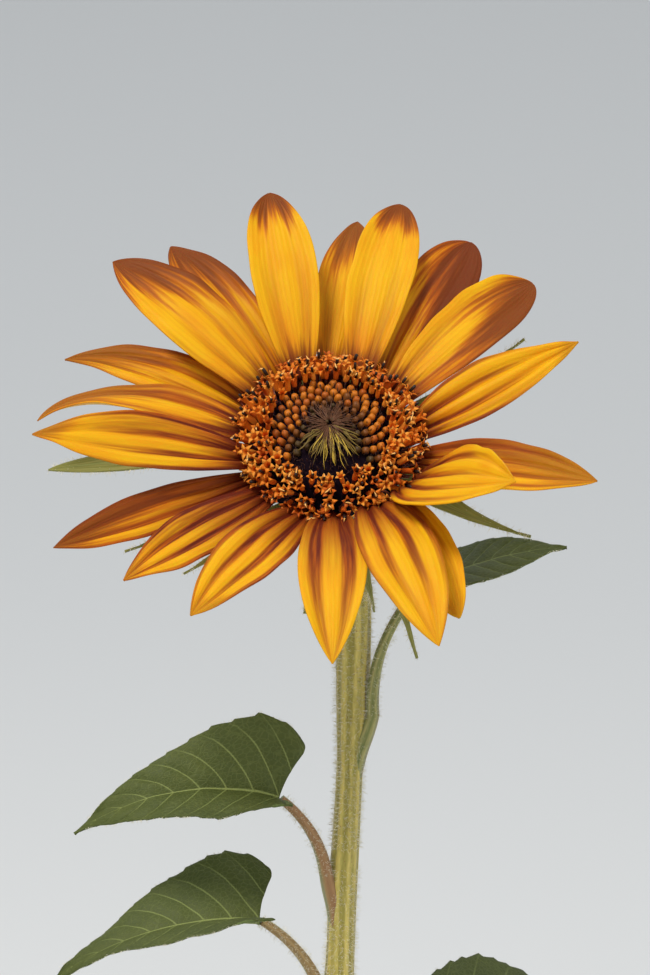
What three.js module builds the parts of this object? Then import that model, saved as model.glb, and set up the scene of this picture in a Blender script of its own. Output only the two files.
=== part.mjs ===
// A compact sunflower plant: one hairy stem with alternate leaves and one open flower head.
// Millimetres, +Z up. The origin is the centre of the stem's flat foot at ground level, and
// the head faces -Y. Every blade (ray, bract or leaf) is a thin closed solid that is swept
// along a curving midline, and every stalk is a tapering tube along a curve.

import * as THREE from "three";

// ---- driving dimensions ------------------------------------------------------------------

// Flower head: the centre of the plane that the rays grow from, and how far it is tipped up.
const HEAD_CENTRE = new THREE.Vector3(-3.5, -27, 362);
const HEAD_RISE = 40;
const RAY_RING_RADIUS = 17;
const RAY_THICKNESS = 0.8;
const RAY_BASE_SHARE = 0.34;
const RAY_CUP = 0.14;
const RAY_LAYER = 1.3;

// Disc and receptacle, measured from the ray plane along the head's axis.
const DISC_RADIUS = 12.6;
const DISC_RIM_HEIGHT = 5.4;
const DISC_TOP = 9.4;
const FLORET_RING_INNER = 13;
const FLORET_RING_OUTER = 20;
const FLORET_RING_FOOT = 15.4;
const FLORET_TIP_HEIGHT = 6.2;
const FLORET_CREST_RADIUS = 14.6;
const FLORET_CREST_HEIGHT = 9;
const RECEPTACLE_RADIUS = 15.6;
const RECEPTACLE_DEPTH = 11;
const NECK_RADIUS = 4;
const LATHE_SEGMENTS = 22;
const GAP = 0.3;

// Bracts, in a ring behind the rays.
const BRACT_RING_RADIUS = 15.4;
const BRACT_RING_HEIGHT = -4.4;
const BRACT_THICKNESS = 0.7;
const BRACT_FOLD = 12;

// Stem.
const FOOT_RADIUS = 6.2;
const FLARE_HEIGHT = 22;
const STEM_RADIUS_LOW = 4.6;
const STEM_RADIUS_HIGH = 3.1;
const NECK_START = 282;
const NECK_LENGTH = 22;
const STEM_SIDES = 12;
const STEM_RINGS = 26;

// Leaves.
const LEAF_THICKNESS = 0.8;
const LEAF_BACK_SHARE = 0.14;
const CORNER_ROUNDING = 0.7;
const PETIOLE_SIDES = 8;
const PETIOLE_RINGS = 8;
const PETIOLE_BASE_RADIUS = 1.6;
const PETIOLE_TIP_RADIUS = 1.1;

// ---- plain shapes of the parts -----------------------------------------------------------

// Outlines of a blade: where along it the widest place is, and how bluntly it closes.
const OUTLINES = {
  round: { base: RAY_BASE_SHARE, peak: 0.58, fullness: 2.3, closing: 0.62 },
  blunt: { base: RAY_BASE_SHARE, peak: 0.55, fullness: 2.0, closing: 0.8 },
  pointed: { base: RAY_BASE_SHARE, peak: 0.52, fullness: 1.9, closing: 0.9 },
  slender: { base: RAY_BASE_SHARE, peak: 0.42, fullness: 1.8, closing: 0.95 },
  bract: { base: 0.75, peak: 0.2, fullness: 1.0, closing: 1.25 },
  tapered: { base: 0.86, peak: 0.16, fullness: 1.1, closing: 1.3 },
  heart: { base: 0.78, peak: 0.26, fullness: 1.35, closing: 1.15 },
};

// Rays, counter-clockwise from the right as the head is faced. `at` is the place on the ring
// and `aim` the direction of growth in the head's plane (degrees), `rise` the angle out of
// that plane at the base and at the tip, `layer` 1 in front, 0 between and -1 behind.
const RAYS = [
  { at: 8, aim: 27, rise: [32, -12], long: 45, wide: 13, tip: "slender", bend: 12 },
  { at: 36, aim: 44, rise: [22, -19], long: 46, wide: 15, tip: "round", layer: 1 },
  { at: 50, aim: 62, rise: [18, -14], long: 47, wide: 16, tip: "round", layer: -1 },
  { at: 68, aim: 77, rise: [26, -10], long: 46, wide: 14.5, tip: "round", layer: 1 },
  { at: 89, aim: 82, rise: [14, -19], long: 46.5, wide: 13, tip: "blunt", layer: -1 },
  { at: 111, aim: 100, rise: [30, 3], long: 45, wide: 15, tip: "round", layer: 1 },
  { at: 124, aim: 126, rise: [22, -10], long: 46, wide: 14.5, tip: "blunt", layer: -1 },
  { at: 138, aim: 139, rise: [28, -9], long: 49, wide: 16, tip: "blunt", layer: 1, bend: 6 },
  { at: 154, aim: 158, rise: [21, -18], long: 48, wide: 12, tip: "slender", layer: -2, bend: 14, hook: 12 },
  {
    at: 172, aim: 172, rise: [18, 1], long: 49.5, wide: 12.5, tip: "slender", layer: 0.6,
    bend: 14, hook: 50, roll: 50,
  },
  { at: 195, aim: 188, rise: [34, 15], long: 51.5, wide: 14, tip: "pointed", layer: 1 },
  { at: 206, aim: 212, rise: [19, 17], long: 52.5, wide: 11, tip: "pointed", layer: -1 },
  { at: 224, aim: 226, rise: [27, 17], long: 47, wide: 12, tip: "pointed" },
  { at: 254, aim: 236, rise: [37, 9], long: 46.5, wide: 13.5, tip: "pointed" },
  { at: 272, aim: 270, rise: [48, -12], long: 48, wide: 14.5, tip: "pointed" },
  { at: 299, aim: 288, rise: [50, -12], long: 50, wide: 16, tip: "pointed", layer: 1, out: 1 },
  { at: 320, aim: 290, rise: [32, 7], long: 43.5, wide: 13, tip: "blunt", layer: -1.6 },
  {
    at: 327, aim: 318, rise: [60, 39], long: 46.5, wide: 20.5, tip: "slender", layer: 1.5,
    bend: 22, out: 3.4,
  },
  { at: 351, aim: 336, rise: [34, 19], long: 48.5, wide: 13.5, tip: "pointed", layer: -2 },
];

// Bracts, in the same order and terms as the rays.
const BRACTS = [
  { at: 25, aim: 37, rise: [-4, 10], long: 38, wide: 5.5 },
  { at: 48, aim: 52, rise: [-12, -24], long: 30, wide: 6 },
  { at: 70, aim: 70, rise: [-10, -26], long: 31, wide: 6.5 },
  { at: 92, aim: 90, rise: [-12, -28], long: 30, wide: 6.5 },
  { at: 114, aim: 114, rise: [-10, -26], long: 31, wide: 6.5 },
  { at: 136, aim: 138, rise: [-10, -28], long: 31, wide: 6.5 },
  { at: 160, aim: 158, rise: [-8, -10], long: 41, wide: 6 },
  { at: 177, aim: 185, rise: [-6, 4], long: 47, wide: 5.5, bend: 12, tip: "blunt" },
  { at: 202, aim: 198, rise: [-12, -28], long: 28, wide: 6 },
  { at: 220, aim: 206, rise: [0, 8], long: 36, wide: 5.5 },
  { at: 240, aim: 218, rise: [2, 12], long: 30, wide: 6 },
  { at: 260, aim: 262, rise: [-12, -50], long: 22, wide: 6 },
  { at: 281, aim: 296, rise: [-22, -74], long: 25, wide: 4.5 },
  { at: 301, aim: 292, rise: [-14, -46], long: 35.5, wide: 5.5 },
  { at: 323, aim: 318, rise: [-14, -44], long: 24, wide: 6 },
  { at: 345, aim: 329, rise: [2, 2], long: 34, wide: 6.5, bend: 24 },
];

// Leaves from the top down. `node` is the height where the stalk leaves the stem, `turn` its
// direction seen from above (degrees from +X towards +Y) and `rise` its slope at both ends.
// A blade goes on from its stalk. At its base and its tip, `roll` tips it about its midrib and
// `fold` closes its halves. A tapered blade is widest near its foot; the others are heart-shaped.
const LEAVES = [
  {
    name: "leaf_1_right_upper",
    node: 294,
    stalk: { turn: -10, bend: 36, rise: [94, 48], long: 33 },
    blade: { turn: -4, bend: -4, rise: [28, 5], long: 35.5, wide: 24, roll: [-3, 38], fold: [3, 0] },
  },
  {
    name: "leaf_2_left_upper",
    node: 256,
    stalk: { turn: 201, bend: -24, rise: [80, 40], long: 22.5 },
    blade: { turn: 188, bend: 2, rise: [18, -34], long: 50, wide: 36, roll: [-38, -46], fold: [40, 0] },
    tapered: true,
  },
  {
    name: "leaf_3_left_low",
    node: 228,
    stalk: { turn: 197, bend: -8, rise: [68, 34], long: 22.5 },
    blade: { turn: 188, bend: 4, rise: [6, -35], long: 52, wide: 36, roll: [-12, -24], fold: [32, 4] },
    tapered: true,
  },
  {
    name: "leaf_4_right_middle",
    node: 186,
    stalk: { turn: 28, bend: 6, rise: [50, 10], long: 36 },
    blade: { turn: 34, bend: 6, rise: [2, -42], long: 76, wide: 58, roll: [8, 12], fold: [22, 8] },
  },
  {
    name: "leaf_5_back",
    node: 158,
    stalk: { turn: 118, bend: -6, rise: [46, 10], long: 40 },
    blade: { turn: 112, bend: -6, rise: [2, -40], long: 88, wide: 68, roll: [-6, -10], fold: [20, 8] },
  },
  {
    name: "leaf_6_front_right",
    node: 130,
    stalk: { turn: 304, bend: 6, rise: [42, 6], long: 42 },
    blade: { turn: 310, bend: 6, rise: [-2, -40], long: 92, wide: 72, roll: [6, 10], fold: [20, 8] },
  },
  {
    name: "leaf_7_left_base",
    node: 102,
    stalk: { turn: 206, bend: -6, rise: [38, 2], long: 40 },
    blade: { turn: 200, bend: -8, rise: [-6, -38], long: 84, wide: 64, roll: [-8, -12], fold: [18, 8] },
  },
  {
    name: "leaf_8_right_base",
    node: 74,
    stalk: { turn: 66, bend: 8, rise: [34, -2], long: 34 },
    blade: { turn: 74, bend: 8, rise: [-8, -34], long: 66, wide: 50, roll: [8, 10], fold: [18, 8] },
  },
];

// ---- colours -----------------------------------------------------------------------------

function paint(color, roughness) {
  return new THREE.MeshStandardMaterial({ color, roughness, metalness: 0 });
}

const RAY_YELLOW = paint(0xf0a81c, 0.6);
const FLORET_ORANGE = paint(0xb5601c, 0.7);
const BUD_BROWN = paint(0x7a5420, 0.7);
const STALK_GREEN = paint(0xa89a4a, 0.7);
const LEAF_GREEN = paint(0x5f6a2c, 0.7);

// ---- small helpers -----------------------------------------------------------------------

const radians = THREE.MathUtils.degToRad;
const clamp = THREE.MathUtils.clamp;
const lerp = THREE.MathUtils.lerp;

// Axes of the head's plane: right, up in the plane, and out along the head's axis.
const HEAD_OUT = new THREE.Vector3(0, -Math.cos(radians(HEAD_RISE)), Math.sin(radians(HEAD_RISE)));
const HEAD_RIGHT = new THREE.Vector3(1, 0, 0);
const HEAD_UP = new THREE.Vector3().crossVectors(HEAD_OUT, HEAD_RIGHT);
const HEAD_AXES = [HEAD_RIGHT, HEAD_UP, HEAD_OUT];
const WORLD_AXES = [
  new THREE.Vector3(1, 0, 0),
  new THREE.Vector3(0, 1, 0),
  new THREE.Vector3(0, 0, 1),
];

// A point from its coordinates along three axes.
function along(axes, a, b, c) {
  return new THREE.Vector3()
    .addScaledVector(axes[0], a)
    .addScaledVector(axes[1], b)
    .addScaledVector(axes[2], c);
}

// A point of the head from its place on a ring and its height over the ray plane.
function onHead(angle, radius, height) {
  const a = radians(angle);
  const offset = along(HEAD_AXES, radius * Math.cos(a), radius * Math.sin(a), height);
  return offset.add(HEAD_CENTRE);
}

function meshOf(points, triangles, material, name) {
  const geometry = new THREE.BufferGeometry();
  const position = points.flatMap((p) => [p.x, p.y, p.z]);
  geometry.setAttribute("position", new THREE.Float32BufferAttribute(position, 3));
  geometry.setIndex(triangles);
  geometry.computeVertexNormals();
  const mesh = new THREE.Mesh(geometry, material);
  mesh.name = name;
  return mesh;
}

// Half width of a blade at share u of its length, as a share of its widest half width.
function halfWidth(u, outline) {
  const { base, peak, fullness, closing } = outline;
  if (u < peak) return base + (1 - base) * Math.sin((Math.PI / 2) * (u / peak));
  return (1 - ((u - peak) / (1 - peak)) ** fullness) ** closing;
}

// Midline of a blade or stalk: it sets out at an angle `aim` in the plane of the first two
// axes and at rise[0] out of it, and turns evenly to aim + bend and rise[1] at its tip.
// `hook` adds a turn that gathers towards the tip.
function midline({ start, axes, aim, bend = 0, hook = 0, rise, long, steps }) {
  const frames = [];
  const point = start.clone();
  for (let i = 0; i <= steps; i += 1) {
    const u = i / steps;
    const slope = radians(lerp(rise[0], rise[1], u));
    const turn = radians(aim + bend * (u - 0.5) + hook * u ** 4);
    const ahead = along(
      axes,
      Math.cos(slope) * Math.cos(turn),
      Math.cos(slope) * Math.sin(turn),
      Math.sin(slope),
    );
    if (i > 0) {
      const middle = ahead.clone().add(frames[i - 1].ahead).normalize();
      point.addScaledVector(middle, long / steps);
    }
    const side = along(axes, -Math.sin(turn), Math.cos(turn), 0);
    const up = new THREE.Vector3().crossVectors(ahead, side);
    frames.push({ u, point: point.clone(), ahead, side, up });
  }
  return frames;
}

// A thin closed blade swept along a midline. `cup` lifts the edges in a curve, `fold` lifts
// them as two flat halves, `roll` tips the blade about its midline, more towards the tip, and
// `back` sweeps the foot of each half back past the stalk, which gives a heart-shaped base.
function blade(spec, material, name) {
  const { wide, thick, outline, cup = 0, fold = [0, 0], roll = [0, 0], back = 0, columns } = spec;
  const frames = midline(spec);
  const halfMin = 0.4;
  const top = [];
  const bottom = [];
  for (const { u, point, ahead, side, up } of frames) {
    const tip = radians(lerp(roll[0], roll[1], u));
    const crease = radians(lerp(fold[0], fold[1], u));
    const across = side.clone().multiplyScalar(Math.cos(tip)).addScaledVector(up, Math.sin(tip));
    const over = new THREE.Vector3().crossVectors(ahead, across);
    const half = Math.max((wide / 2) * halfWidth(u, outline), halfMin);
    for (let j = 0; j <= columns; j += 1) {
      const v = (2 * j) / columns - 1;
      const sweep = back * (v * v - CORNER_ROUNDING * v ** 8) * (1 - u) ** 3;
      const lift = Math.abs(v) * half * Math.sin(crease) + v * v * half * cup;
      const middle = point
        .clone()
        .addScaledVector(across, v * half * Math.cos(crease))
        .addScaledVector(over, lift)
        .addScaledVector(ahead, -sweep);
      top.push(middle.clone().addScaledVector(over, thick / 2));
      bottom.push(middle.clone().addScaledVector(over, -thick / 2));
    }
  }
  const rows = frames.length - 1;
  const under = top.length;
  const at = (i, j) => i * (columns + 1) + j;
  const triangles = [];
  const quad = (a, b, c, d) => triangles.push(a, b, c, a, c, d);
  for (let i = 0; i < rows; i += 1) {
    for (let j = 0; j < columns; j += 1) {
      const corners = [at(i, j), at(i + 1, j), at(i + 1, j + 1), at(i, j + 1)];
      quad(...corners);
      quad(...corners.reverse().map((k) => k + under));
    }
    quad(at(i, 0), at(i, 0) + under, at(i + 1, 0) + under, at(i + 1, 0));
    quad(at(i + 1, columns), at(i + 1, columns) + under, at(i, columns) + under, at(i, columns));
  }
  for (let j = 0; j < columns; j += 1) {
    quad(at(0, j + 1), at(0, j + 1) + under, at(0, j) + under, at(0, j));
    quad(at(rows, j), at(rows, j) + under, at(rows, j + 1) + under, at(rows, j + 1));
  }
  return meshOf([...top, ...bottom], triangles, material, name);
}

// A closed tapering tube through a list of { point, side, up, radius }.
function tube(rings, sides, material, name) {
  const points = [];
  for (const { point, side, up, radius } of rings) {
    for (let k = 0; k < sides; k += 1) {
      const angle = (2 * Math.PI * k) / sides;
      points.push(
        point
          .clone()
          .addScaledVector(side, radius * Math.cos(angle))
          .addScaledVector(up, radius * Math.sin(angle)),
      );
    }
  }
  const first = points.length;
  points.push(rings[0].point.clone(), rings[rings.length - 1].point.clone());
  const triangles = [];
  for (let i = 0; i < rings.length - 1; i += 1) {
    for (let k = 0; k < sides; k += 1) {
      const a = i * sides + k;
      const b = i * sides + ((k + 1) % sides);
      triangles.push(a, b, b + sides, a, b + sides, a + sides);
    }
  }
  const last = (rings.length - 1) * sides;
  for (let k = 0; k < sides; k += 1) {
    const next = (k + 1) % sides;
    triangles.push(first, next, k, first + 1, last + k, last + next);
  }
  return meshOf(points, triangles, material, name);
}

// A turned solid on the head's axis; the profile is a list of [radius, height] pairs that
// starts and ends on the axis, or closes on itself.
function turned(profile, material, name) {
  const outline = profile.map(([radius, height]) => new THREE.Vector2(radius, height));
  const geometry = new THREE.LatheGeometry(outline, LATHE_SEGMENTS);
  const mesh = new THREE.Mesh(geometry, material);
  mesh.name = name;
  mesh.position.copy(HEAD_CENTRE);
  mesh.quaternion.setFromUnitVectors(new THREE.Vector3(0, 1, 0), HEAD_OUT);
  return mesh;
}

// ---- stem --------------------------------------------------------------------------------

// The stem stands upright from a flat cut, leans a little, and bows forward under the head.
const STEM_LINE = new THREE.CatmullRomCurve3(
  [
    new THREE.Vector3(0, 0, 0),
    new THREE.Vector3(0, 0, 40),
    new THREE.Vector3(-1.6, 0.6, 130),
    new THREE.Vector3(-0.8, 0.4, 232),
    new THREE.Vector3(1.5, 0.2, 284),
    new THREE.Vector3(2.2, -0.4, 320),
    new THREE.Vector3(1.2, -5.5, 339),
    onHead(0, 0, -RECEPTACLE_DEPTH - GAP),
  ],
  false,
  "centripetal",
);

function stemRadius(height) {
  const flare = (FOOT_RADIUS - STEM_RADIUS_LOW) * Math.exp(-((height / FLARE_HEIGHT) ** 2));
  const shaft = lerp(STEM_RADIUS_LOW, STEM_RADIUS_HIGH, clamp(height / NECK_START, 0, 1));
  const neck = (NECK_RADIUS - STEM_RADIUS_HIGH) * clamp((height - NECK_START) / NECK_LENGTH, 0, 1);
  return shaft + flare + neck;
}

function stem() {
  const rings = [];
  for (let i = 0; i <= STEM_RINGS; i += 1) {
    const u = i / STEM_RINGS;
    const point = STEM_LINE.getPointAt(u);
    const ahead = STEM_LINE.getTangentAt(u);
    if (i === 0) ahead.set(0, 0, 1);
    if (i === STEM_RINGS) ahead.copy(HEAD_OUT);
    const side = new THREE.Vector3(1, 0, 0).addScaledVector(ahead, -ahead.x).normalize();
    const up = new THREE.Vector3().crossVectors(ahead, side);
    rings.push({ point, side, up, radius: stemRadius(point.z) });
  }
  return tube(rings, STEM_SIDES, STALK_GREEN, "stem");
}

// Centre of the stem at a height.
function stemCentre(height) {
  let low = 0;
  let high = 1;
  for (let i = 0; i < 30; i += 1) {
    const middle = (low + high) / 2;
    if (STEM_LINE.getPointAt(middle).z < height) low = middle;
    else high = middle;
  }
  return STEM_LINE.getPointAt(low);
}

// ---- leaves ------------------------------------------------------------------------------

function leaf({ name, node, stalk, blade: lamina, tapered = false }) {
  const turn = radians(stalk.turn - stalk.bend / 2);
  const outward = new THREE.Vector3(Math.cos(turn), Math.sin(turn), 0);
  const reach = stemRadius(node) + PETIOLE_BASE_RADIUS + GAP;
  const start = stemCentre(node).addScaledVector(outward, reach);
  const frames = midline({
    start,
    axes: WORLD_AXES,
    aim: stalk.turn,
    bend: stalk.bend,
    rise: stalk.rise,
    long: stalk.long,
    steps: PETIOLE_RINGS,
  });
  const rings = frames.map((frame) => ({
    ...frame,
    radius: lerp(PETIOLE_BASE_RADIUS, PETIOLE_TIP_RADIUS, frame.u),
  }));
  const end = frames[PETIOLE_RINGS];
  const petiole = tube(rings, PETIOLE_SIDES, STALK_GREEN, `${name}_petiole`);
  const spec = {
    start: end.point.clone().addScaledVector(end.ahead, GAP + 0.3),
    axes: WORLD_AXES,
    aim: lamina.turn,
    bend: lamina.bend,
    rise: lamina.rise,
    long: lamina.long,
    wide: lamina.wide,
    thick: LEAF_THICKNESS,
    outline: tapered ? OUTLINES.tapered : OUTLINES.heart,
    roll: lamina.roll,
    fold: lamina.fold,
    back: lamina.wide * LEAF_BACK_SHARE,
    steps: 10,
    columns: 6,
  };
  return [petiole, blade(spec, LEAF_GREEN, `${name}_blade`)];
}

// ---- flower head -------------------------------------------------------------------------

function ray({ at, aim, rise, long, wide, tip, layer = 0, bend, hook, roll = 0, out = 0 }, index) {
  const spec = {
    start: onHead(at, RAY_RING_RADIUS + out, layer * RAY_LAYER),
    axes: HEAD_AXES,
    aim,
    bend,
    hook,
    rise,
    long: long - out,
    wide,
    thick: RAY_THICKNESS,
    outline: OUTLINES[tip],
    cup: RAY_CUP,
    roll: [0, roll],
    steps: 8,
    columns: 4,
  };
  return blade(spec, RAY_YELLOW, `ray_${String(index + 1).padStart(2, "0")}`);
}

function bract({ at, aim, bend, rise, long, wide, tip = "bract" }, index) {
  const spec = {
    start: onHead(at, BRACT_RING_RADIUS, BRACT_RING_HEIGHT),
    axes: HEAD_AXES,
    aim,
    bend,
    rise,
    long,
    wide,
    thick: BRACT_THICKNESS,
    outline: OUTLINES[tip],
    fold: [BRACT_FOLD, BRACT_FOLD],
    steps: 6,
    columns: 2,
  };
  return blade(spec, LEAF_GREEN, `bract_${String(index + 1).padStart(2, "0")}`);
}

function receptacle() {
  const profile = [
    [0, -RECEPTACLE_DEPTH],
    [NECK_RADIUS, -RECEPTACLE_DEPTH],
    [6.5, -8.6],
    [11.5, -5.6],
    [14.2, -2.6],
    [RECEPTACLE_RADIUS, -1.2],
    [RECEPTACLE_RADIUS, -GAP],
    [0, -GAP],
  ];
  return turned(profile, LEAF_GREEN, "receptacle");
}

function discBuds() {
  const profile = [
    [0, 0],
    [DISC_RADIUS, 0],
    [DISC_RADIUS, DISC_RIM_HEIGHT],
    [DISC_RADIUS - 2.1, DISC_RIM_HEIGHT + 1.4],
    [DISC_RADIUS / 2, DISC_TOP - 0.8],
    [0, DISC_TOP],
  ];
  return turned(profile, BUD_BROWN, "disc_buds");
}

function discFlorets() {
  const profile = [
    [FLORET_RING_INNER, 0],
    [FLORET_RING_FOOT, 0],
    [FLORET_RING_FOOT + 0.8, FLORET_TIP_HEIGHT / 2],
    [FLORET_RING_OUTER, FLORET_TIP_HEIGHT - 0.4],
    [FLORET_RING_OUTER - 1, FLORET_TIP_HEIGHT],
    [FLORET_RING_OUTER - 2.6, FLORET_TIP_HEIGHT + 1.2],
    [FLORET_CREST_RADIUS, FLORET_CREST_HEIGHT],
    [FLORET_RING_INNER, FLORET_CREST_HEIGHT - 0.6],
    [FLORET_RING_INNER, 0],
  ];
  return turned(profile, FLORET_ORANGE, "disc_florets");
}

// ---- the plant ---------------------------------------------------------------------------

const plant = new THREE.Group();
plant.add(stem());
plant.add(receptacle(), discBuds(), discFlorets());
plant.add(...RAYS.map(ray));
plant.add(...BRACTS.map(bract));
plant.add(...LEAVES.flatMap(leaf));

export default plant;
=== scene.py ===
"""Looks of a compact sunflower plant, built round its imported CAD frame.

Shapes are worked out in millimetres with numpy and scaled to metres when a mesh is made.
Every blade (ray, bract or leaf) repeats the midline of its CAD node with a finer grid, with
pleats, veins and an uneven edge. Small things, such as hairs and florets, are joined by kind.
"""

import math

import bpy
import numpy as np
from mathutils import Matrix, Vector


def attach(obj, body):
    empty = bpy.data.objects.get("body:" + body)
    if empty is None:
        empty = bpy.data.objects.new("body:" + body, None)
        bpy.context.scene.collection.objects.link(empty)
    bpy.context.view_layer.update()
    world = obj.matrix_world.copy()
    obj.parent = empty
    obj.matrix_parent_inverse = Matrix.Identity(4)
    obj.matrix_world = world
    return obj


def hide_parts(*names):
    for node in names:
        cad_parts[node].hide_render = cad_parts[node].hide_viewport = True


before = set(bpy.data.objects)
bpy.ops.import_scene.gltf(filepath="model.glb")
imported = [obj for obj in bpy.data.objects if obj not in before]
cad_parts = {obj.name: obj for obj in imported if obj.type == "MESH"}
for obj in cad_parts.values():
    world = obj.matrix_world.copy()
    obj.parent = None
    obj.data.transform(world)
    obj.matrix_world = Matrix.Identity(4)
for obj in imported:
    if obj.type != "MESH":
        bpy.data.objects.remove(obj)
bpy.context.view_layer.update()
RNG = np.random.default_rng(11)

MM = 0.001

# ---- dimensions shared with the CAD model, in millimetres and degrees -------------------------

HEAD_CENTRE = np.array([-3.5, -27.0, 362.0])
HEAD_RISE = 40
RAY_RING_RADIUS = 17
RAY_BASE_SHARE = 0.34
RAY_CUP = 0.14
RAY_LAYER = 1.3

BRACT_RING_RADIUS = 15.4
BRACT_RING_HEIGHT = -4.4
BRACT_FOLD = 12

NECK_RADIUS = 4
GAP = 0.3

FOOT_RADIUS = 6.2
FLARE_HEIGHT = 22
STEM_RADIUS_LOW = 4.6
STEM_RADIUS_HIGH = 3.1
NECK_START = 282
NECK_LENGTH = 22

LEAF_BACK_SHARE = 0.14
CORNER_ROUNDING = 0.7
PETIOLE_BASE_RADIUS = 1.6
PETIOLE_TIP_RADIUS = 1.1

# Outlines of a blade: where along it the widest place is, and how bluntly it closes.
OUTLINES = {
    "round": (RAY_BASE_SHARE, 0.58, 2.3, 0.62),
    "blunt": (RAY_BASE_SHARE, 0.55, 2.0, 0.8),
    "pointed": (RAY_BASE_SHARE, 0.52, 1.9, 0.9),
    "slender": (RAY_BASE_SHARE, 0.42, 1.8, 0.95),
    "bract": (0.75, 0.2, 1.0, 1.25),
    "tapered": (0.86, 0.16, 1.1, 1.3),
    "heart": (0.78, 0.26, 1.35, 1.15),
}


# Rays as the CAD model places them, counter-clockwise from the right: place on the ring and
# direction, rise at base and tip, length, width, outline, layer, bend, hook, roll and the
# distance out from the ring.
RAY_PLACE_KEYS = "at aim rise long wide tip layer bend hook roll out".split()
RAY_PLACES = [
    (8, 27, (32, -12), 45, 13, "slender", 0, 12, 0, 0, 0),
    (36, 44, (22, -19), 46, 15, "round", 1, 0, 0, 0, 0),
    (50, 62, (18, -14), 47, 16, "round", -1, 0, 0, 0, 0),
    (68, 77, (26, -10), 46, 14.5, "round", 1, 0, 0, 0, 0),
    (89, 82, (14, -19), 46.5, 13, "blunt", -1, 0, 0, 0, 0),
    (111, 100, (30, 3), 45, 15, "round", 1, 0, 0, 0, 0),
    (124, 126, (22, -10), 46, 14.5, "blunt", -1, 0, 0, 0, 0),
    (138, 139, (28, -9), 49, 16, "blunt", 1, 6, 0, 0, 0),
    (154, 158, (21, -18), 48, 12, "slender", -2, 14, 12, 0, 0),
    (172, 172, (18, 1), 49.5, 12.5, "slender", 0.6, 14, 50, 50, 0),
    (195, 188, (34, 15), 51.5, 14, "pointed", 1, 0, 0, 0, 0),
    (206, 212, (19, 17), 52.5, 11, "pointed", -1, 0, 0, 0, 0),
    (224, 226, (27, 17), 47, 12, "pointed", 0, 0, 0, 0, 0),
    (254, 236, (37, 9), 46.5, 13.5, "pointed", 0, 0, 0, 0, 0),
    (272, 270, (48, -12), 48, 14.5, "pointed", 0, 0, 0, 0, 0),
    (299, 288, (50, -12), 50, 16, "pointed", 1, 0, 0, 0, 1),
    (320, 290, (32, 7), 43.5, 13, "blunt", -1.6, 0, 0, 0, 0),
    (327, 318, (60, 39), 46.5, 20.5, "slender", 1.5, 22, 0, 0, 3.4),
    (351, 336, (34, 19), 48.5, 13.5, "pointed", -2, 0, 0, 0, 0),
]

# Looks of each ray: `pleats` is how many folds run along it and `deep` how deep they are (mm),
# `flush` how far the red-brown runs out from the base, partly the ray's own flush and
# partly painted shade from the disc, `streak` how strongly painted shade follows the grooves of
# the folds, `dusk` how dark the painted shade at the tip is, over a red-brown tint of its
# own, and `reach` how far down that runs (shares). `lean` moves the painted shade to one edge:
# 1 is the left one, seen from the middle of the head.
RAY_LOOK_KEYS = "pleats deep flush streak dusk reach lean".split()
RAY_LOOKS = [
    (3, 1.9, 0.3, 0.9, 0.3, 0.12, -0.5),
    (2, 0.8, 0.2, 0.3, 0.9, 0.4, -1),
    (3, 0.7, 0.25, 0.5, 1.0, 0.6, -1),
    (2, 0.6, 0.2, 0.25, 0.9, 0.14, 0),
    (2, 0.6, 0.2, 0.3, 0.8, 0.3, 0),
    (2, 0.6, 0.2, 0.25, 0.9, 0.14, 0),
    (3, 0.8, 0.16, 0.4, 0.9, 0.32, -0.6),
    (3, 0.8, 0.14, 0.35, 0.9, 0.28, -0.8),
    (3, 1.0, 0.22, 0.7, 0.7, 0.4, -0.8),
    (2, 1.0, 0.25, 0.8, 0.6, 0.4, -0.8),
    (3, 1.2, 0.35, 1.0, 0.5, 0.12, -1),
    (3, 1.1, 0.75, 1.2, 0.8, 0.5, -1),
    (3, 1.1, 0.75, 1.2, 0.4, 0.12, -0.6),
    (3, 1.2, 0.58, 1.1, 0.3, 0.12, 0.4),
    (2, 0.7, 0.66, 0.8, 0.1, 0.12, 0),
    (3, 0.8, 0.5, 0.8, 0.1, 0.12, 0),
    (2, 0.7, 0.4, 0.5, 0.2, 0.12, 0),
    (4, 1.0, 0.35, 0.8, 0.1, 0.12, 0),
    (4, 1.0, 0.4, 0.9, 0.5, 0.5, 1),
]

RAYS = [
    dict(zip(RAY_PLACE_KEYS + RAY_LOOK_KEYS, place + look))
    for place, look in zip(RAY_PLACES, RAY_LOOKS)
]

# Bracts: place on the ring, direction, rise at base and tip, length, width, side bend and outline.
BRACTS = [
    (25, 37, (-4, 10), 38, 5.5, 0),
    (48, 52, (-12, -24), 30, 6, 0),
    (70, 70, (-10, -26), 31, 6.5, 0),
    (92, 90, (-12, -28), 30, 6.5, 0),
    (114, 114, (-10, -26), 31, 6.5, 0),
    (136, 138, (-10, -28), 31, 6.5, 0),
    (160, 158, (-8, -10), 41, 6, 0),
    (177, 185, (-6, 4), 47, 5.5, 12, "blunt"),
    (202, 198, (-12, -28), 28, 6, 0),
    (220, 206, (0, 8), 36, 5.5, 0),
    (240, 218, (2, 12), 30, 6, 0),
    (260, 262, (-12, -50), 22, 6, 0),
    (281, 296, (-22, -74), 25, 4.5, 0),
    (301, 292, (-14, -46), 35.5, 5.5, 0),
    (323, 318, (-14, -44), 24, 6, 0),
    (345, 329, (2, 2), 34, 6.5, 24),
]

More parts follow.
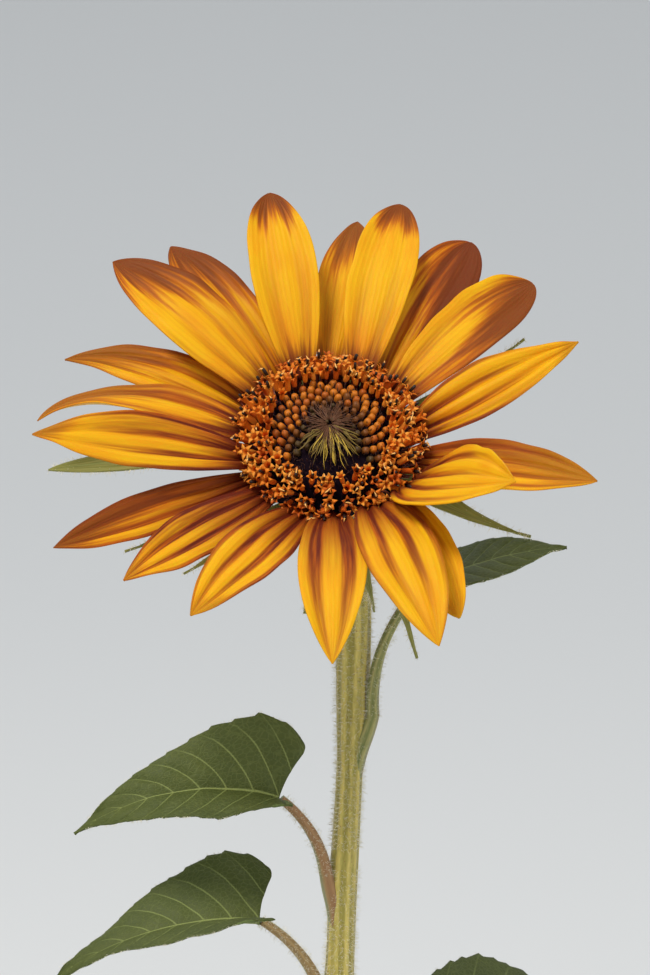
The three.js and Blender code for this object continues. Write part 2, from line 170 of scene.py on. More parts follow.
# Leaves from the top down: node height, stalk (turn, bend, rise, length) and blade
# (turn, bend, rise, length, width, roll, fold).
LEAVES = [
    ("leaf_1_right_upper", 294,
     (-10, 36, (94, 48), 33), (-4, -4, (28, 5), 35.5, 24, (-3, 38), (3, 0))),
    ("leaf_2_left_upper", 256,
     (201, -24, (80, 40), 22.5), (188, 2, (18, -34), 50, 36, (-38, -46), (40, 0))),
    ("leaf_3_left_low", 228,
     (197, -8, (68, 34), 22.5), (188, 4, (6, -35), 52, 36, (-12, -24), (32, 4))),
    ("leaf_4_right_middle", 186,
     (28, 6, (50, 10), 36), (34, 6, (2, -42), 76, 58, (8, 12), (22, 8))),
    ("leaf_5_back", 158,
     (118, -6, (46, 10), 40), (112, -6, (2, -40), 88, 68, (-6, -10), (20, 8))),
    ("leaf_6_front_right", 130,
     (304, 6, (42, 6), 42), (310, 6, (-2, -40), 92, 72, (6, 10), (20, 8))),
    ("leaf_7_left_base", 102,
     (206, -6, (38, 2), 40), (200, -8, (-6, -38), 84, 64, (-8, -12), (18, 8))),
    ("leaf_8_right_base", 74,
     (66, 8, (34, -2), 34), (74, 8, (-8, -34), 66, 50, (8, 10), (18, 8))),
]
# Leaves whose blade is widest near its foot; the others are heart-shaped.
TAPERED_LEAVES = ("leaf_2_left_upper", "leaf_3_left_low")

HEAD_OUT = np.array([0, -math.cos(math.radians(HEAD_RISE)), math.sin(math.radians(HEAD_RISE))])
HEAD_RIGHT = np.array([1.0, 0, 0])
HEAD_UP = np.cross(HEAD_OUT, HEAD_RIGHT)
HEAD_AXES = (HEAD_RIGHT, HEAD_UP, HEAD_OUT)
WORLD_AXES = (np.array([1.0, 0, 0]), np.array([0, 1.0, 0]), np.array([0, 0, 1.0]))


# ---- numbers and vectors -----------------------------------------------------------------------


def lerp(pair, u):
    return pair[0] + (pair[1] - pair[0]) * u


def step(low, high, x):
    """0 below low, 1 above high and smooth between."""
    t = np.clip((x - low) / (high - low), 0, 1)
    return t * t * (3 - 2 * t)


def along(axes, a, b, c):
    a, b, c = np.broadcast_arrays(a, b, c)
    return a[..., None] * axes[0] + b[..., None] * axes[1] + c[..., None] * axes[2]


def on_head(angle, radius, height):
    """Points of the head from places on rings and heights over the ray plane."""
    a = np.radians(angle)
    return HEAD_CENTRE + along(HEAD_AXES, radius * np.cos(a), radius * np.sin(a), height)


def unit(v):
    return v / np.linalg.norm(v, axis=-1, keepdims=True)


def round_angles(count):
    """Evenly spaced angles round a full turn, in radians."""
    return np.arange(count) * 2 * math.pi / count


def travelled(points):
    """Distance along a line of points, from its first point."""
    return np.concatenate([[0], np.cumsum(np.linalg.norm(np.diff(points, axis=0), axis=1))])


def waves(x, seed, count=4):
    """A smooth repeatable wander of about -1 to 1 along x."""
    rng = np.random.default_rng(seed)
    total = 0
    for k in range(1, count + 1):
        total = total + np.sin(2 * math.pi * (k * x + rng.random())) * rng.uniform(0.4, 1) / k
    return total / 1.6


# ---- meshes -------------------------------------------------------------------------------------


def mesh_object(name, points, faces, materials, smooth=True, kinds=None):
    """A mesh object from points in mm, a list of face arrays and a list of materials."""
    mesh = bpy.data.meshes.new(name)
    loops = np.concatenate([f.ravel() for f in faces])
    sizes = np.concatenate([np.full(len(f), f.shape[1]) for f in faces])
    starts = np.concatenate([[0], np.cumsum(sizes)[:-1]])
    mesh.vertices.add(len(points))
    mesh.vertices.foreach_set("co", (points * MM).astype(np.float32).ravel())
    mesh.loops.add(len(loops))
    mesh.loops.foreach_set("vertex_index", loops.astype(np.int32))
    mesh.polygons.add(len(sizes))
    mesh.polygons.foreach_set("loop_start", starts.astype(np.int32))
    for material in materials:
        mesh.materials.append(material)
    if kinds is not None:
        mesh.polygons.foreach_set("material_index", kinds.astype(np.int32))
    mesh.polygons.foreach_set("use_smooth", np.full(len(sizes), smooth))
    mesh.update(calc_edges=True)
    mesh.validate()
    made = bpy.data.objects.new(name, mesh)
    bpy.context.scene.collection.objects.link(made)
    return made


def store(made, name, values):
    """Keeps a vector per point on the mesh, for its material to read."""
    layer = made.data.attributes.new(name, "FLOAT_VECTOR", "POINT")
    layer.data.foreach_set("vector", values.astype(np.float32).ravel())


def settle(made, slot, *nodes):
    """The piece rides on the plant's one body and stands for its CAD nodes, which are hidden; slot is not
    used.
    """
    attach(made, "root")
    if nodes:
        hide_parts(*nodes)
    return made


def grid_faces(rows, columns, wrap=False):
    """Quads of a grid of points with rows x columns cells, facing rows x columns."""
    across = columns if wrap else columns + 1
    i, j = np.meshgrid(np.arange(rows), np.arange(columns), indexing="ij")
    a = i * across + j
    b = i * across + (j + 1) % across
    return np.stack([a, a + across, b + across, b], -1).reshape(-1, 4)


# ---- blades --------------------------------------------------------------------------------------


def half_width(u, outline):
    """Half width of a blade along its length, as a share of its widest half width."""
    base, peak, fullness, closing = OUTLINES[outline]
    rising = base + (1 - base) * np.sin(math.pi / 2 * np.clip(u / peak, 0, 1))
    t = np.clip((u - peak) / (1 - peak), 0, 1)
    return np.where(u < peak, rising, (1 - t**fullness) ** closing)


def midline(start, axes, aim, bend, rise, long, u, hook=0):
    """Points and directions along a blade or stalk; see the CAD model's function."""
    slope = np.radians(lerp(rise, u))
    turn = np.radians(aim + bend * (u - 0.5) + hook * u**4)
    ahead = along(axes, np.cos(slope) * np.cos(turn), np.cos(slope) * np.sin(turn), np.sin(slope))
    middle = unit(ahead[1:] + ahead[:-1])
    steps = middle * (long * np.diff(u))[:, None]
    points = np.concatenate([[start], start + np.cumsum(steps, 0)])
    side = along(axes, -np.sin(turn), np.cos(turn), 0 * turn)
    return points, ahead, side, np.cross(ahead, side)


class Blade:
    """A fine grid over a blade: places, directions and the shares u along and v across."""

    def __init__(self, start, axes, aim, bend, rise, long, wide, outline, rows, columns,
                 hook=0, cup=0, fold=(0, 0), roll=(0, 0), back=0, edge=None):
        # Rows crowd towards the tip, where the outline closes fast.
        self.u = np.sin(np.linspace(0, 1, rows + 1) * math.pi / 2) ** 0.9
        self.v = np.linspace(-1, 1, columns + 1)
        self.long, self.wide = long, wide
        points, ahead, side, up = midline(start, axes, aim, bend, rise, long, self.u, hook)
        tip = np.radians(lerp(roll, self.u))[:, None]
        self.ahead = ahead
        self.across = side * np.cos(tip) + up * np.sin(tip)
        self.over = np.cross(ahead, self.across)
        self.half = np.maximum(wide / 2 * half_width(self.u, outline), 0.12)
        u = self.u[:, None]
        v = self.v[None, :]
        half = self.half[:, None] * (1 + (edge(u, v) if edge else 0 * u * v))
        crease = np.radians(lerp(fold, u))
        self.lift = np.abs(v) * half * np.sin(crease) + v * v * half * cup
        self.reach = v * half * np.cos(crease)
        self.slip = -back * (v * v - CORNER_ROUNDING * v**8) * (1 - u) ** 3
        self.points = points
        self.grid_u = u + 0 * v
        self.grid_v = v + 0 * u

    def surface(self, relief=0):
        """Points of the middle surface, raised by relief (mm) along the blade's upper side."""
        return (
            self.points[:, None]
            + self.across[:, None] * self.reach[..., None]
            + self.over[:, None] * (self.lift + relief)[..., None]
            + self.ahead[:, None] * self.slip[..., None]
        )


def grid_normals(points):
    along_rows = np.gradient(points, axis=0)
    along_columns = np.gradient(points, axis=1)
    normal = np.cross(along_rows, along_columns)
    length = np.linalg.norm(normal, axis=-1, keepdims=True)
    return normal / np.maximum(length, 1e-9)


def blade_object(name, blade, upper, lower, thick, front, back_material):
    """A closed thin piece between an upper and a lower relief; see Blade.surface."""
    top = blade.surface(upper)
    bottom = blade.surface(lower)
    normals = grid_normals((top + bottom) / 2)
    top = top + normals * thick / 2
    bottom = bottom - normals * thick / 2
    rows = len(blade.u) - 1
    columns = len(blade.v) - 1
    count = (rows + 1) * (columns + 1)
    faces = grid_faces(rows, columns)
    under = faces[:, ::-1] + count
    index = np.arange(count).reshape(rows + 1, columns + 1)
    loop = np.concatenate(
        [index[:, 0], index[-1, 1:], index[-2::-1, -1], index[0, -2:0:-1]]
    )
    following = np.roll(loop, -1)
    rim = np.stack([following, loop, loop + count, following + count], -1)
    points = np.concatenate([top.reshape(-1, 3), bottom.reshape(-1, 3)])
    kinds = np.concatenate([np.zeros(len(faces)), np.ones(len(under)), np.zeros(len(rim))])
    made = mesh_object(name, points, [faces, under, rim], [front, back_material], kinds=kinds)
    uv = np.stack([blade.grid_u, blade.grid_v, 0 * blade.grid_u], -1).reshape(-1, 3)
    store(made, "blade", np.concatenate([uv, uv]))
    return made


# ---- materials -----------------------------------------------------------------------------------

GOLD = (0.74, 0.385, 0.005)
DEEP_GOLD = (0.68, 0.235, 0.004)
AMBER = (0.46, 0.105, 0.004)
# Painted shade on the rays, partly their own red-brown: at the base, in the grooves and at the foot.
RED_BROWN_SHADE = (0.12, 0.016, 0.005)
# Painted shade at the ray tips, where light falls off.
TIP_SHADE_BROWN = (0.075, 0.013, 0.006)
RAY_BACK = (0.72, 0.46, 0.05)
RAY_BACK_GREEN = (0.4, 0.36, 0.06)
RAY_BACK_WARM = (0.62, 0.33, 0.02)
LEAF_DARK = (0.045, 0.062, 0.012)
LEAF_LIGHT = (0.1, 0.118, 0.024)
LEAF_BACK = (0.13, 0.17, 0.055)
LEAF_BACK_DARK = (0.1, 0.14, 0.04)
VEIN = (0.26, 0.3, 0.09)
BRACT_GREEN = (0.18, 0.18, 0.03)
BRACT_PALE = (0.27, 0.26, 0.07)
STEM_RIDGE = (0.62, 0.5, 0.13)
# Painted shade: the groove colours of stem, petiole and receptacle darken the grooves between the ribs.
STEM_GROOVE_SHADE = (0.31, 0.26, 0.045)
# Painted shade on the lower stem.
STEM_SHADE_LOW = (0.19, 0.2, 0.05)
STEM_SPOTS = (0.2, 0.06, 0.03)
PETIOLE_RIDGE = (0.4, 0.36, 0.13)
PETIOLE_GROOVE_SHADE = (0.15, 0.17, 0.04)
STALK_RED = (0.33, 0.13, 0.06)
RECEPTACLE_GREENS = ((0.17, 0.22, 0.06), (0.09, 0.12, 0.03), (0.2, 0.1, 0.03))
HAIR = (0.85, 0.8, 0.62)


class Shader:
    """Builds one material. Any value may be a number or the output of another node."""

    def __init__(self, name, roughness=0.55, specular=0.3, sheen=0.0, subsurface=0.0):
        self.material = bpy.data.materials.new(name)
        self.material.use_nodes = True
        self.nodes = self.material.node_tree.nodes
        self.links = self.material.node_tree.links
        self.skin = self.nodes["Principled BSDF"]
        settings = {
            "Roughness": roughness,
            "Specular IOR Level": specular,
            "Sheen Weight": sheen,
            "Subsurface Weight": subsurface,
            "Subsurface Scale": 0.0015,
        }
        for key, value in settings.items():
            self.skin.inputs[key].default_value = value

    def put(self, socket, value):
        if isinstance(value, bpy.types.NodeSocket):
            self.links.new(value, socket)
        elif isinstance(value, tuple) and socket.type == "RGBA":
            socket.default_value = (*value, 1)
        else:
            socket.default_value = value

    def math(self, operation, *values):
        node = self.nodes.new("ShaderNodeMath")
        node.operation = operation
        for socket, value in zip(node.inputs, values):
            self.put(socket, value)
        return node.outputs[0]

    def total(self, *values):
        out = values[0]
        for value in values[1:]:
            out = self.math("ADD", out, value)
        return out

    def product(self, *values):
        out = values[0]
        for value in values[1:]:
            out = self.math("MULTIPLY", out, value)
        return out

    def attribute(self, name):
        """The three numbers kept on the mesh under a name."""
        node = self.nodes.new("ShaderNodeAttribute")
        node.attribute_name = name
        split = self.nodes.new("ShaderNodeSeparateXYZ")
        self.links.new(node.outputs["Vector"], split.inputs[0])
        return split.outputs[0], split.outputs[1], split.outputs[2]

    def vector(self, x, y, z):
        node = self.nodes.new("ShaderNodeCombineXYZ")
        for socket, value in zip(node.inputs, (x, y, z)):
            self.put(socket, value)
        return node.outputs[0]

    def noise(self, vector, scale=1.0, detail=3.0):
        node = self.nodes.new("ShaderNodeTexNoise")
        self.put(node.inputs["Vector"], vector)
        node.inputs["Scale"].default_value = scale
        node.inputs["Detail"].default_value = detail
        return node.outputs["Fac"]

    def cells(self, vector, scale=1.0, feature="F1"):
        node = self.nodes.new("ShaderNodeTexVoronoi")
        node.feature = feature
        self.put(node.inputs["Vector"], vector)
        node.inputs["Scale"].default_value = scale
        return node.outputs["Distance"]

    def fade(self, value, low, high, start=0.0, end=1.0):
        """Goes smoothly from start where value is low to end where it is high."""
        node = self.nodes.new("ShaderNodeMapRange")
        node.interpolation_type = "SMOOTHSTEP"
        numbers = {"Value": value, "From Min": low, "From Max": high, "To Min": start, "To Max": end}
        for key, number in numbers.items():
            self.put(node.inputs[key], number)
        return node.outputs[0]

    def mix(self, first, second, share):
        node = self.nodes.new("ShaderNodeMix")
        node.data_type = "RGBA"
        node.clamp_factor = True
        self.put(node.inputs["Factor"], share)
        colours = [socket for socket in node.inputs if socket.type == "RGBA"]
        self.put(colours[0], first)
        self.put(colours[1], second)
        return [socket for socket in node.outputs if socket.type == "RGBA"][0]

    def bump(self, height, strength=0.3, distance=0.0002):
        node = self.nodes.new("ShaderNodeBump")
        node.inputs["Strength"].default_value = strength
        node.inputs["Distance"].default_value = distance
        self.put(node.inputs["Height"], height)
        self.links.new(node.outputs[0], self.skin.inputs["Normal"])

    def colour(self, value):
        self.put(self.skin.inputs["Base Color"], value)
        return self.material


def plain(name, colour, **settings):
    return Shader(name, **settings).colour(colour)


def ray_material(name, spec, seed):
    """Golden with soft veins, a red-brown base flush that is partly painted shade, and painted shade in the
    folds, at the foot and at the tip.
    """
    s = Shader(name, roughness=0.55, specular=0.12, subsurface=0.2)
    u, v, pleat = s.attribute("blade")
    fibre = s.noise(s.vector(s.product(u, 2), s.product(v, 5), seed), 1.6, 4)
    cloud = s.noise(s.vector(s.product(u, 3), s.product(v, 1.5), seed + 5), 1.0, 2)
    veins = s.math("COSINE", s.product(s.total(v, s.product(cloud, 0.2)), 40))
    golden = s.mix(GOLD, DEEP_GOLD, s.total(s.fade(cloud, 0.35, 0.7, 0, 0.5), s.fade(u, 0.45, 0, 0, 0.7)))
    golden = s.mix(golden, AMBER, s.product(s.fade(veins, 0.2, 1), s.fade(u, 1, 0.1, 0.04, 0.16)))
    # Painted shade: red-brown in the grooves of the folds and along one edge, where shade falls.
    groove_shade = s.fade(pleat, 0.2, -0.75)
    edge = s.fade(s.total(s.product(v, spec["lean"]), s.product(fibre, 0.5)), 0.4, 1.2)
    # Partly the ray's own red-brown flush, partly painted shade cast by the disc, stronger on the lower
    # rays.
    reach = s.total(spec["flush"], s.product(s.total(fibre, -0.5), 0.4))
    flush = s.fade(u, reach, -0.05)
    fading = s.fade(u, s.total(reach, 0.6), s.product(reach, 0.5))
    fold_shade = s.product(s.total(groove_shade, s.product(edge, 0.8)), fading, spec["streak"])
    warm = s.mix(golden, AMBER, s.total(s.product(flush, 1.0), s.product(fold_shade, 1.2)))
    deep = s.total(s.product(flush, 0.75), s.product(fold_shade, s.fade(fibre, 0.25, 0.65), 0.95))
    warm = s.mix(warm, RED_BROWN_SHADE, deep)
    # Painted shade at the tip, where light falls off, over a red-brown tint of its own; lean moves it to
    # one edge.
    from_tip = s.product(s.total(1, s.product(u, -1)), 1 / spec["reach"])
    side = s.total(0.25, s.product(fibre, 1.5), s.product(v, spec["lean"] * 0.75), s.product(groove_shade, 0.3))
    tip = s.fade(s.total(side, s.product(from_tip, -0.9)), -0.6, 0.8)
    # Painted shadow of the florets: maroon at the very foot of the ray.
    foot = s.fade(u, s.total(0.04, s.product(fibre, 0.36)), 0.05, 0, 0.9)
    warm = s.mix(warm, RED_BROWN_SHADE, foot)
    warm = s.mix(warm, AMBER, s.product(s.fade(tip, 0.1, 0.75), spec["dusk"]))
    s.bump(s.total(s.product(veins, 0.4), s.product(fibre, 2)), 0.3, 0.0002)
    return s.colour(s.mix(warm, TIP_SHADE_BROWN, s.product(s.fade(tip, 0.4, 1.25), spec["dusk"])))


def ray_back_material(name, seed):
    s = Shader(name, roughness=0.6, specular=0.2, sheen=0.2, subsurface=0.25)
    u, v, _ = s.attribute("blade")
    veins = s.math("COSINE", s.product(v, 30))
    greened = s.total(s.fade(u, 0.4, 0, 0, 0.7), s.fade(veins, 0.4, 1, 0, 0.3))
    base = s.mix(RAY_BACK, RAY_BACK_GREEN, greened)
    mottle = s.noise(s.vector(s.product(u, 6), s.product(v, 4), seed), 1.0, 3)
    s.bump(veins, 0.3, 0.0002)
    return s.colour(s.mix(base, RAY_BACK_WARM, s.fade(mottle, 0.4, 0.7, 0, 0.5)))


def leaf_material(name, seed, long, wide, ribs, under=False):
    """Dark green with a pale midrib, side veins and a fine net; paler beneath."""
    s = Shader(name, roughness=0.65 if under else 0.55, specular=0.15 if under else 0.25)
    u, v, vein = s.attribute("blade")
    place = s.vector(s.product(u, long), s.product(v, wide / 2), seed * 10)
    cloud = s.noise(place, 0.09, 3)
    grain = s.noise(place, 0.9, 2)
    pair = (LEAF_BACK, LEAF_BACK_DARK) if under else (LEAF_DARK, LEAF_LIGHT)
    green = s.mix(*pair, cloud)
    net = s.fade(s.cells(place, 0.85, "DISTANCE_TO_EDGE"), 0.14, 0.02)
    green = s.mix(green, VEIN, s.product(net, 0.4 if under else 0.13, s.total(grain, 0.4)))
    aside = s.math("ABSOLUTE", v)
    rib = s.math("ABSOLUTE", s.math("SINE", s.product(vein, math.pi * ribs)))
    lateral = s.product(s.fade(rib, 0.17, 0.04), s.fade(aside, 1, 0.55, 0.25, 1))
    middle = s.fade(s.product(aside, s.total(1, u, u)), 0.05, 0.022)
    lines = s.math("MAXIMUM", s.product(lateral, 0.75), middle)
    s.bump(s.total(s.product(net, -0.6), grain), 0.4, 0.0003)
    return s.colour(s.mix(green, VEIN, s.product(lines, 0.9)))


def bract_material(name, seed):
    s = Shader(name, roughness=0.6, specular=0.25, sheen=0.2)
    u, v, _ = s.attribute("blade")
    streak = s.noise(s.vector(s.product(u, 4), s.product(v, 5), seed), 1.0, 3)
    green = s.mix(BRACT_GREEN, BRACT_PALE, s.fade(streak, 0.35, 0.65))
    rib = s.fade(s.math("ABSOLUTE", v), 0.16, 0.03)
    s.bump(streak, 0.3, 0.0003)
    return s.colour(s.mix(green, VEIN, s.product(rib, 0.6)))


def stalk_material(name, ridge, groove_shade, blush, blush_side=0.0, low=None):
    """Ribbed skin, with painted shade in the grooves between the ribs. "skin" holds the direction round the
    stalk and the length, "relief" the rib.
    """
    s = Shader(name, roughness=0.5, specular=0.35, sheen=0.25, subsurface=0.1)
    x, y, length = s.attribute("skin")
    rib, _, _ = s.attribute("relief")
    place = s.vector(s.product(x, 4), s.product(y, 4), s.product(length, 0.25))
    fibre = s.noise(place, 1.6, 4)
    # Painted shade: the grooves between the ribs take the darker colour.
    raised = s.total(s.fade(rib, -0.7, 0.9, 0.0, 0.8), s.fade(fibre, 0.3, 0.7, -0.2, 0.3))
    skin = s.mix(groove_shade, ridge, raised)
    # Painted shade: with low given, the stalk darkens and greens towards its foot, away from the light.
    if low:
        skin = s.mix(skin, low, s.fade(length, 230, 60, 0, 0.75))
    dots = s.cells(s.vector(s.product(x, 5), s.product(y, 5), length), 0.8)
    spots = s.product(s.fade(dots, 0.2, 0.08), s.fade(s.noise(place, 0.7, 2), 0.42, 0.6))
    side = s.fade(s.total(x, s.product(fibre, 0.8)), 0.2, 1.2) if blush_side else 0.0
    red = s.total(s.product(spots, 0.8), s.product(side, blush_side))
    s.bump(fibre, 0.35, 0.0003)
    return s.colour(s.mix(skin, blush, red))


# ---- small joined things ---------------------------------------------------------------------------


class Heap:
    """Many small solids of one kind joined in one mesh, with a material for each tint."""

    def __init__(self):
        self.points, self.quads, self.threes = [], [], []
        self.quad_kinds, self.three_kinds = [], []
        self.count = 0

    def add(self, points, quads=None, threes=None, kind=0):
        if quads is not None and len(quads):
            self.quads.append(quads + self.count)
            self.quad_kinds.append(np.full(len(quads), kind))
        if threes is not None and len(threes):
            self.threes.append(threes + self.count)
            self.three_kinds.append(np.full(len(threes), kind))
        self.points.append(points)
        self.count += len(points)

    def build(self, name, materials, smooth=True):
        faces = [np.concatenate(part) for part in (self.quads, self.threes) if part]
        kinds = np.concatenate(self.quad_kinds + self.three_kinds)
        return mesh_object(name, np.concatenate(self.points), faces, materials, smooth, kinds)


def crosswise(directions):
    """Two directions square to each of many directions."""
    helper = np.where(np.abs(directions[:, 2:3]) < 0.9, [[0, 0, 1.0]], [[1.0, 0, 0]])
    first = unit(np.cross(directions, helper))
    return first, np.cross(directions, first)


def add_spikes(heap, roots, directions, length, width, droop=None, kinds=None, sides=3):
    """Tapered hairs. Each has a ring at its root, a ring half way and a point."""
    directions = unit(directions)
    first, second = crosswise(directions)
    n = len(roots)
    length = np.broadcast_to(length, n)[:, None]
    width = np.broadcast_to(width, n)[:, None]
    sag = np.zeros((n, 3)) if droop is None else droop
    rings = []
    for share, girth in ((-0.06, 1.0), (0.5, 0.7)):
        centre = roots + directions * length * share + sag * length * max(share, 0) ** 2
        for k in range(sides):
            a = 2 * math.pi * k / sides
            rings.append(centre + (first * math.cos(a) + second * math.sin(a)) * width / 2 * girth)
    rings.append(roots + directions * length + sag * length)
    points = np.stack(rings, 1)
    each = 2 * sides + 1
    base = np.arange(n)[:, None] * each
    for k in range(sides):
        m = (k + 1) % sides
        quads = base + np.array([[k, m, m + sides, k + sides]])
        threes = base + np.array([[k + sides, m + sides, 2 * sides]])
        for kind in range(1 if kinds is None else kinds.max() + 1):
            chosen = slice(None) if kinds is None else kinds == kind
            heap.quads.append(quads[chosen] + heap.count)
            heap.quad_kinds.append(np.full(len(quads[chosen]), kind))
            heap.threes.append(threes[chosen] + heap.count)
            heap.three_kinds.append(np.full(len(threes[chosen]), kind))
    heap.points.append(points.reshape(-1, 3))
    heap.count += n * each


def tube_points(centres, radii, sides, first, second):
    """Rings of points round a line; radii may be a list of rings of radii."""
    a = round_angles(sides)
    radii = np.asarray(radii, float)
    if radii.ndim == 1:
        radii = radii[:, None] + 0 * a
    ring = first[:, None] * np.cos(a)[None, :, None] + second[:, None] * np.sin(a)[None, :, None]
    return centres[:, None] + ring * radii[..., None]


def closed_tube(points):
    """Points and faces of a tube with a cap at each end."""
    rings, sides = points.shape[:2]
    faces = grid_faces(rings - 1, sides, wrap=True)[:, ::-1]
    flat = points.reshape(-1, 3)
    ends = np.stack([points[0].mean(0), points[-1].mean(0)])
    k = np.arange(sides)
    m = (k + 1) % sides
    low = np.stack([m, k, np.full(sides, len(flat))], -1)
    last = (rings - 1) * sides
    high = np.stack([k + last, m + last, np.full(sides, len(flat) + 1)], -1)
    return np.concatenate([flat, ends]), faces, np.concatenate([low, high])


# ---- rays ------------------------------------------------------------------------------------------

RAY_THICKNESS = 0.35
RAY_ROWS = 60
RAY_COLUMNS = 28


def make_ray(index, spec):
    name = f"ray_{index:02d}"
    out = spec["out"]
    pleats = spec["pleats"]

    def edge(u, v):
        ruffle = 0.05 * waves(u * 1.3, 100 + index) * np.where(v > 0, 1, -0.6)
        return ruffle * np.abs(v) ** 3 * step(0.15, 0.4, u) * step(1.0, 0.85, u)

    blade = Blade(
        on_head(spec["at"], RAY_RING_RADIUS + out, spec["layer"] * RAY_LAYER), HEAD_AXES,
        spec["aim"], spec["bend"], spec["rise"], spec["long"] - out, spec["wide"], spec["tip"],
        RAY_ROWS, RAY_COLUMNS, hook=spec["hook"], cup=RAY_CUP, roll=(0, spec["roll"]), edge=edge,
    )
    u, v = blade.grid_u, blade.grid_v
    wander = v + 0.07 * waves(u * 0.8, 200 + index) * (1 - v * v)
    pleat = np.cos(math.pi * pleats * wander)
    fine = np.cos(math.pi * 11 * wander + 2 * waves(u * 0.5, 300 + index))
    calm = step(1.0, 0.75, np.abs(v)) * 0.6 + 0.4
    relief = spec["deep"] * 0.5 * pleat * (1 - 0.55 * u) * step(1.0, 0.8, u) * calm
    relief = relief + 0.035 * fine * step(1.0, 0.9, u) * (1 - v * v)
    ruffle = 0.9 * waves(u * 1.2, 400 + index) * np.where(v > 0, 1, -0.8)
    relief = relief + ruffle * np.abs(v) ** 2.5 * step(0.2, 0.6, u) * step(1.05, 0.9, u)
    front = ray_material(f"{name}_gold", spec, index)
    back = ray_back_material(f"{name}_back", index)
    made = blade_object(f"{name}_petal", blade, relief, relief, RAY_THICKNESS, front, back)
    uv = np.stack([u, v, pleat], -1).reshape(-1, 3)
    made.data.attributes["blade"].data.foreach_set(
        "vector", np.concatenate([uv, uv]).astype(np.float32).ravel()
    )
    settle(made, "ray", name)


for number, ray_spec in enumerate(RAYS, 1):
    make_ray(number, ray_spec)


# ---- bracts ----------------------------------------------------------------------------------------

blade_hairs = Heap()
stalk_hairs = Heap()


def hair_directions(count, base, spread):
    """Directions scattered round given ones."""
    return unit(base + RNG.normal(0, spread, (count, 3)))


def fringe(points, outward, over, count, length, spread=0.35, width=0.11):
    """Hairs along an edge, between its points, leaning outward."""
    far = travelled(points)
    where = np.interp(RNG.uniform(0, 0.97 * far[-1], count), far, np.arange(len(far)))
    low = np.minimum(where.astype(int), len(points) - 2)
    share = (where - low)[:, None]
    roots = points[low] * (1 - share) + points[low + 1] * share
    lean = outward[low] + over[low] * RNG.normal(0.1, 0.5, (count, 1))
    long = length * RNG.uniform(0.5, 1.1, count)
    add_spikes(blade_hairs, roots, hair_directions(count, lean, spread), long, width)


def fuzz(heap, points, normals, count, length, lean=None, spread=0.3, width=0.1):
    """Hairs scattered over a grid of points."""
    flat = points.reshape(-1, 3)
    out = normals.reshape(-1, 3)
    chosen = RNG.integers(0, len(flat), count)
    direction = out[chosen] if lean is None else out[chosen] + lean.reshape(-1, 3)[chosen]
    roots = flat[chosen] + RNG.normal(0, 0.2, (count, 3))
    long = length * RNG.uniform(0.5, 1.1, count)
    add_spikes(heap, roots, hair_directions(count, direction, spread), long, width)


def make_bract(index, at, aim, rise, long, wide, bend, outline="bract"):
    name = f"bract_{index:02d}"
    blade = Blade(
        on_head(at, BRACT_RING_RADIUS, BRACT_RING_HEIGHT), HEAD_AXES, aim, bend, rise, long, wide,
        outline, 44, 14, fold=(BRACT_FOLD, BRACT_FOLD),
    )
    u, v = blade.grid_u, blade.grid_v
    rib = np.exp(-((v / 0.16) ** 2)) * (1 - 0.6 * u)
    relief = 0.14 * np.cos(3 * math.pi * v) * (1 - u) + 0.5 * waves(u * 1.1, 500 + index) * v * v
    upper = relief - 0.12 * rib
    lower = relief - 0.3 * rib
    green = bract_material(f"{name}_green", index)
    made = blade_object(f"{name}_blade", blade, upper, lower, 0.5, green, green)
    settle(made, "bract", name)
    surface = blade.surface(relief)
    for column, sign in ((0, -1), (-1, 1)):
        lean = blade.across * sign + blade.ahead * 0.5
        fringe(surface[:, column], lean, blade.over, int(long * 2.2), 1.5)
    normals = grid_normals(surface)
    fuzz(blade_hairs, surface, -normals, int(long * 2), 0.9, lean=0.5 * blade.ahead[:, None] + 0 * surface)


for number, bract_spec in enumerate(BRACTS, 1):
    make_bract(number, *bract_spec)


# ---- stem ------------------------------------------------------------------------------------------

STEM_SIDES = 60
STEM_RIBS = 9
STEM_SPACING = 1.1
STEM_KNOTS = [
    (0, 0, 0), (0, 0, 40), (-1.6, 0.6, 130), (-0.8, 0.4, 232), (1.5, 0.2, 284), (2.2, -0.4, 320),
    (1.2, -5.5, 339), tuple(on_head(0, 0, -11.3)),
]


def smooth_line(knots, spacing):
    """A centripetal Catmull-Rom curve through the knots, with evenly spaced points."""
    knots = [np.array(k, float) for k in knots]
    knots = [2 * knots[0] - knots[1], *knots, 2 * knots[-1] - knots[-2]]
    t = np.linspace(0, 1, 80)[:, None]
    pieces = []
    for a, b, c, d in zip(knots, knots[1:], knots[2:], knots[3:]):
        ab, bc, cd = (math.sqrt(np.linalg.norm(q - p)) for p, q in ((a, b), (b, c), (c, d)))
        leave = ((b - a) / ab - (c - a) / (ab + bc) + (c - b) / bc) * bc
        arrive = ((c - b) / bc - (d - b) / (bc + cd) + (d - c) / cd) * bc
        square = -3 * b + 3 * c - 2 * leave - arrive
        cube = 2 * b - 2 * c + leave + arrive
        pieces.append(b + leave * t + square * t**2 + cube * t**3)
    dense = np.concatenate([pieces[0]] + [p[1:] for p in pieces[1:]])
    far = travelled(dense)
    at = np.linspace(0, far[-1], int(far[-1] / spacing) + 1)
    return np.stack([np.interp(at, far, dense[:, k]) for k in range(3)], -1)


STEM_LINE = smooth_line(STEM_KNOTS, STEM_SPACING)


def stem_radius(height):
    flare = (FOOT_RADIUS - STEM_RADIUS_LOW) * np.exp(-((height / FLARE_HEIGHT) ** 2))
    shaft = lerp((STEM_RADIUS_LOW, STEM_RADIUS_HIGH), np.clip(height / NECK_START, 0, 1))
    neck = (NECK_RADIUS - STEM_RADIUS_HIGH) * np.clip((height - NECK_START) / NECK_LENGTH, 0, 1)
    return shaft + flare + neck


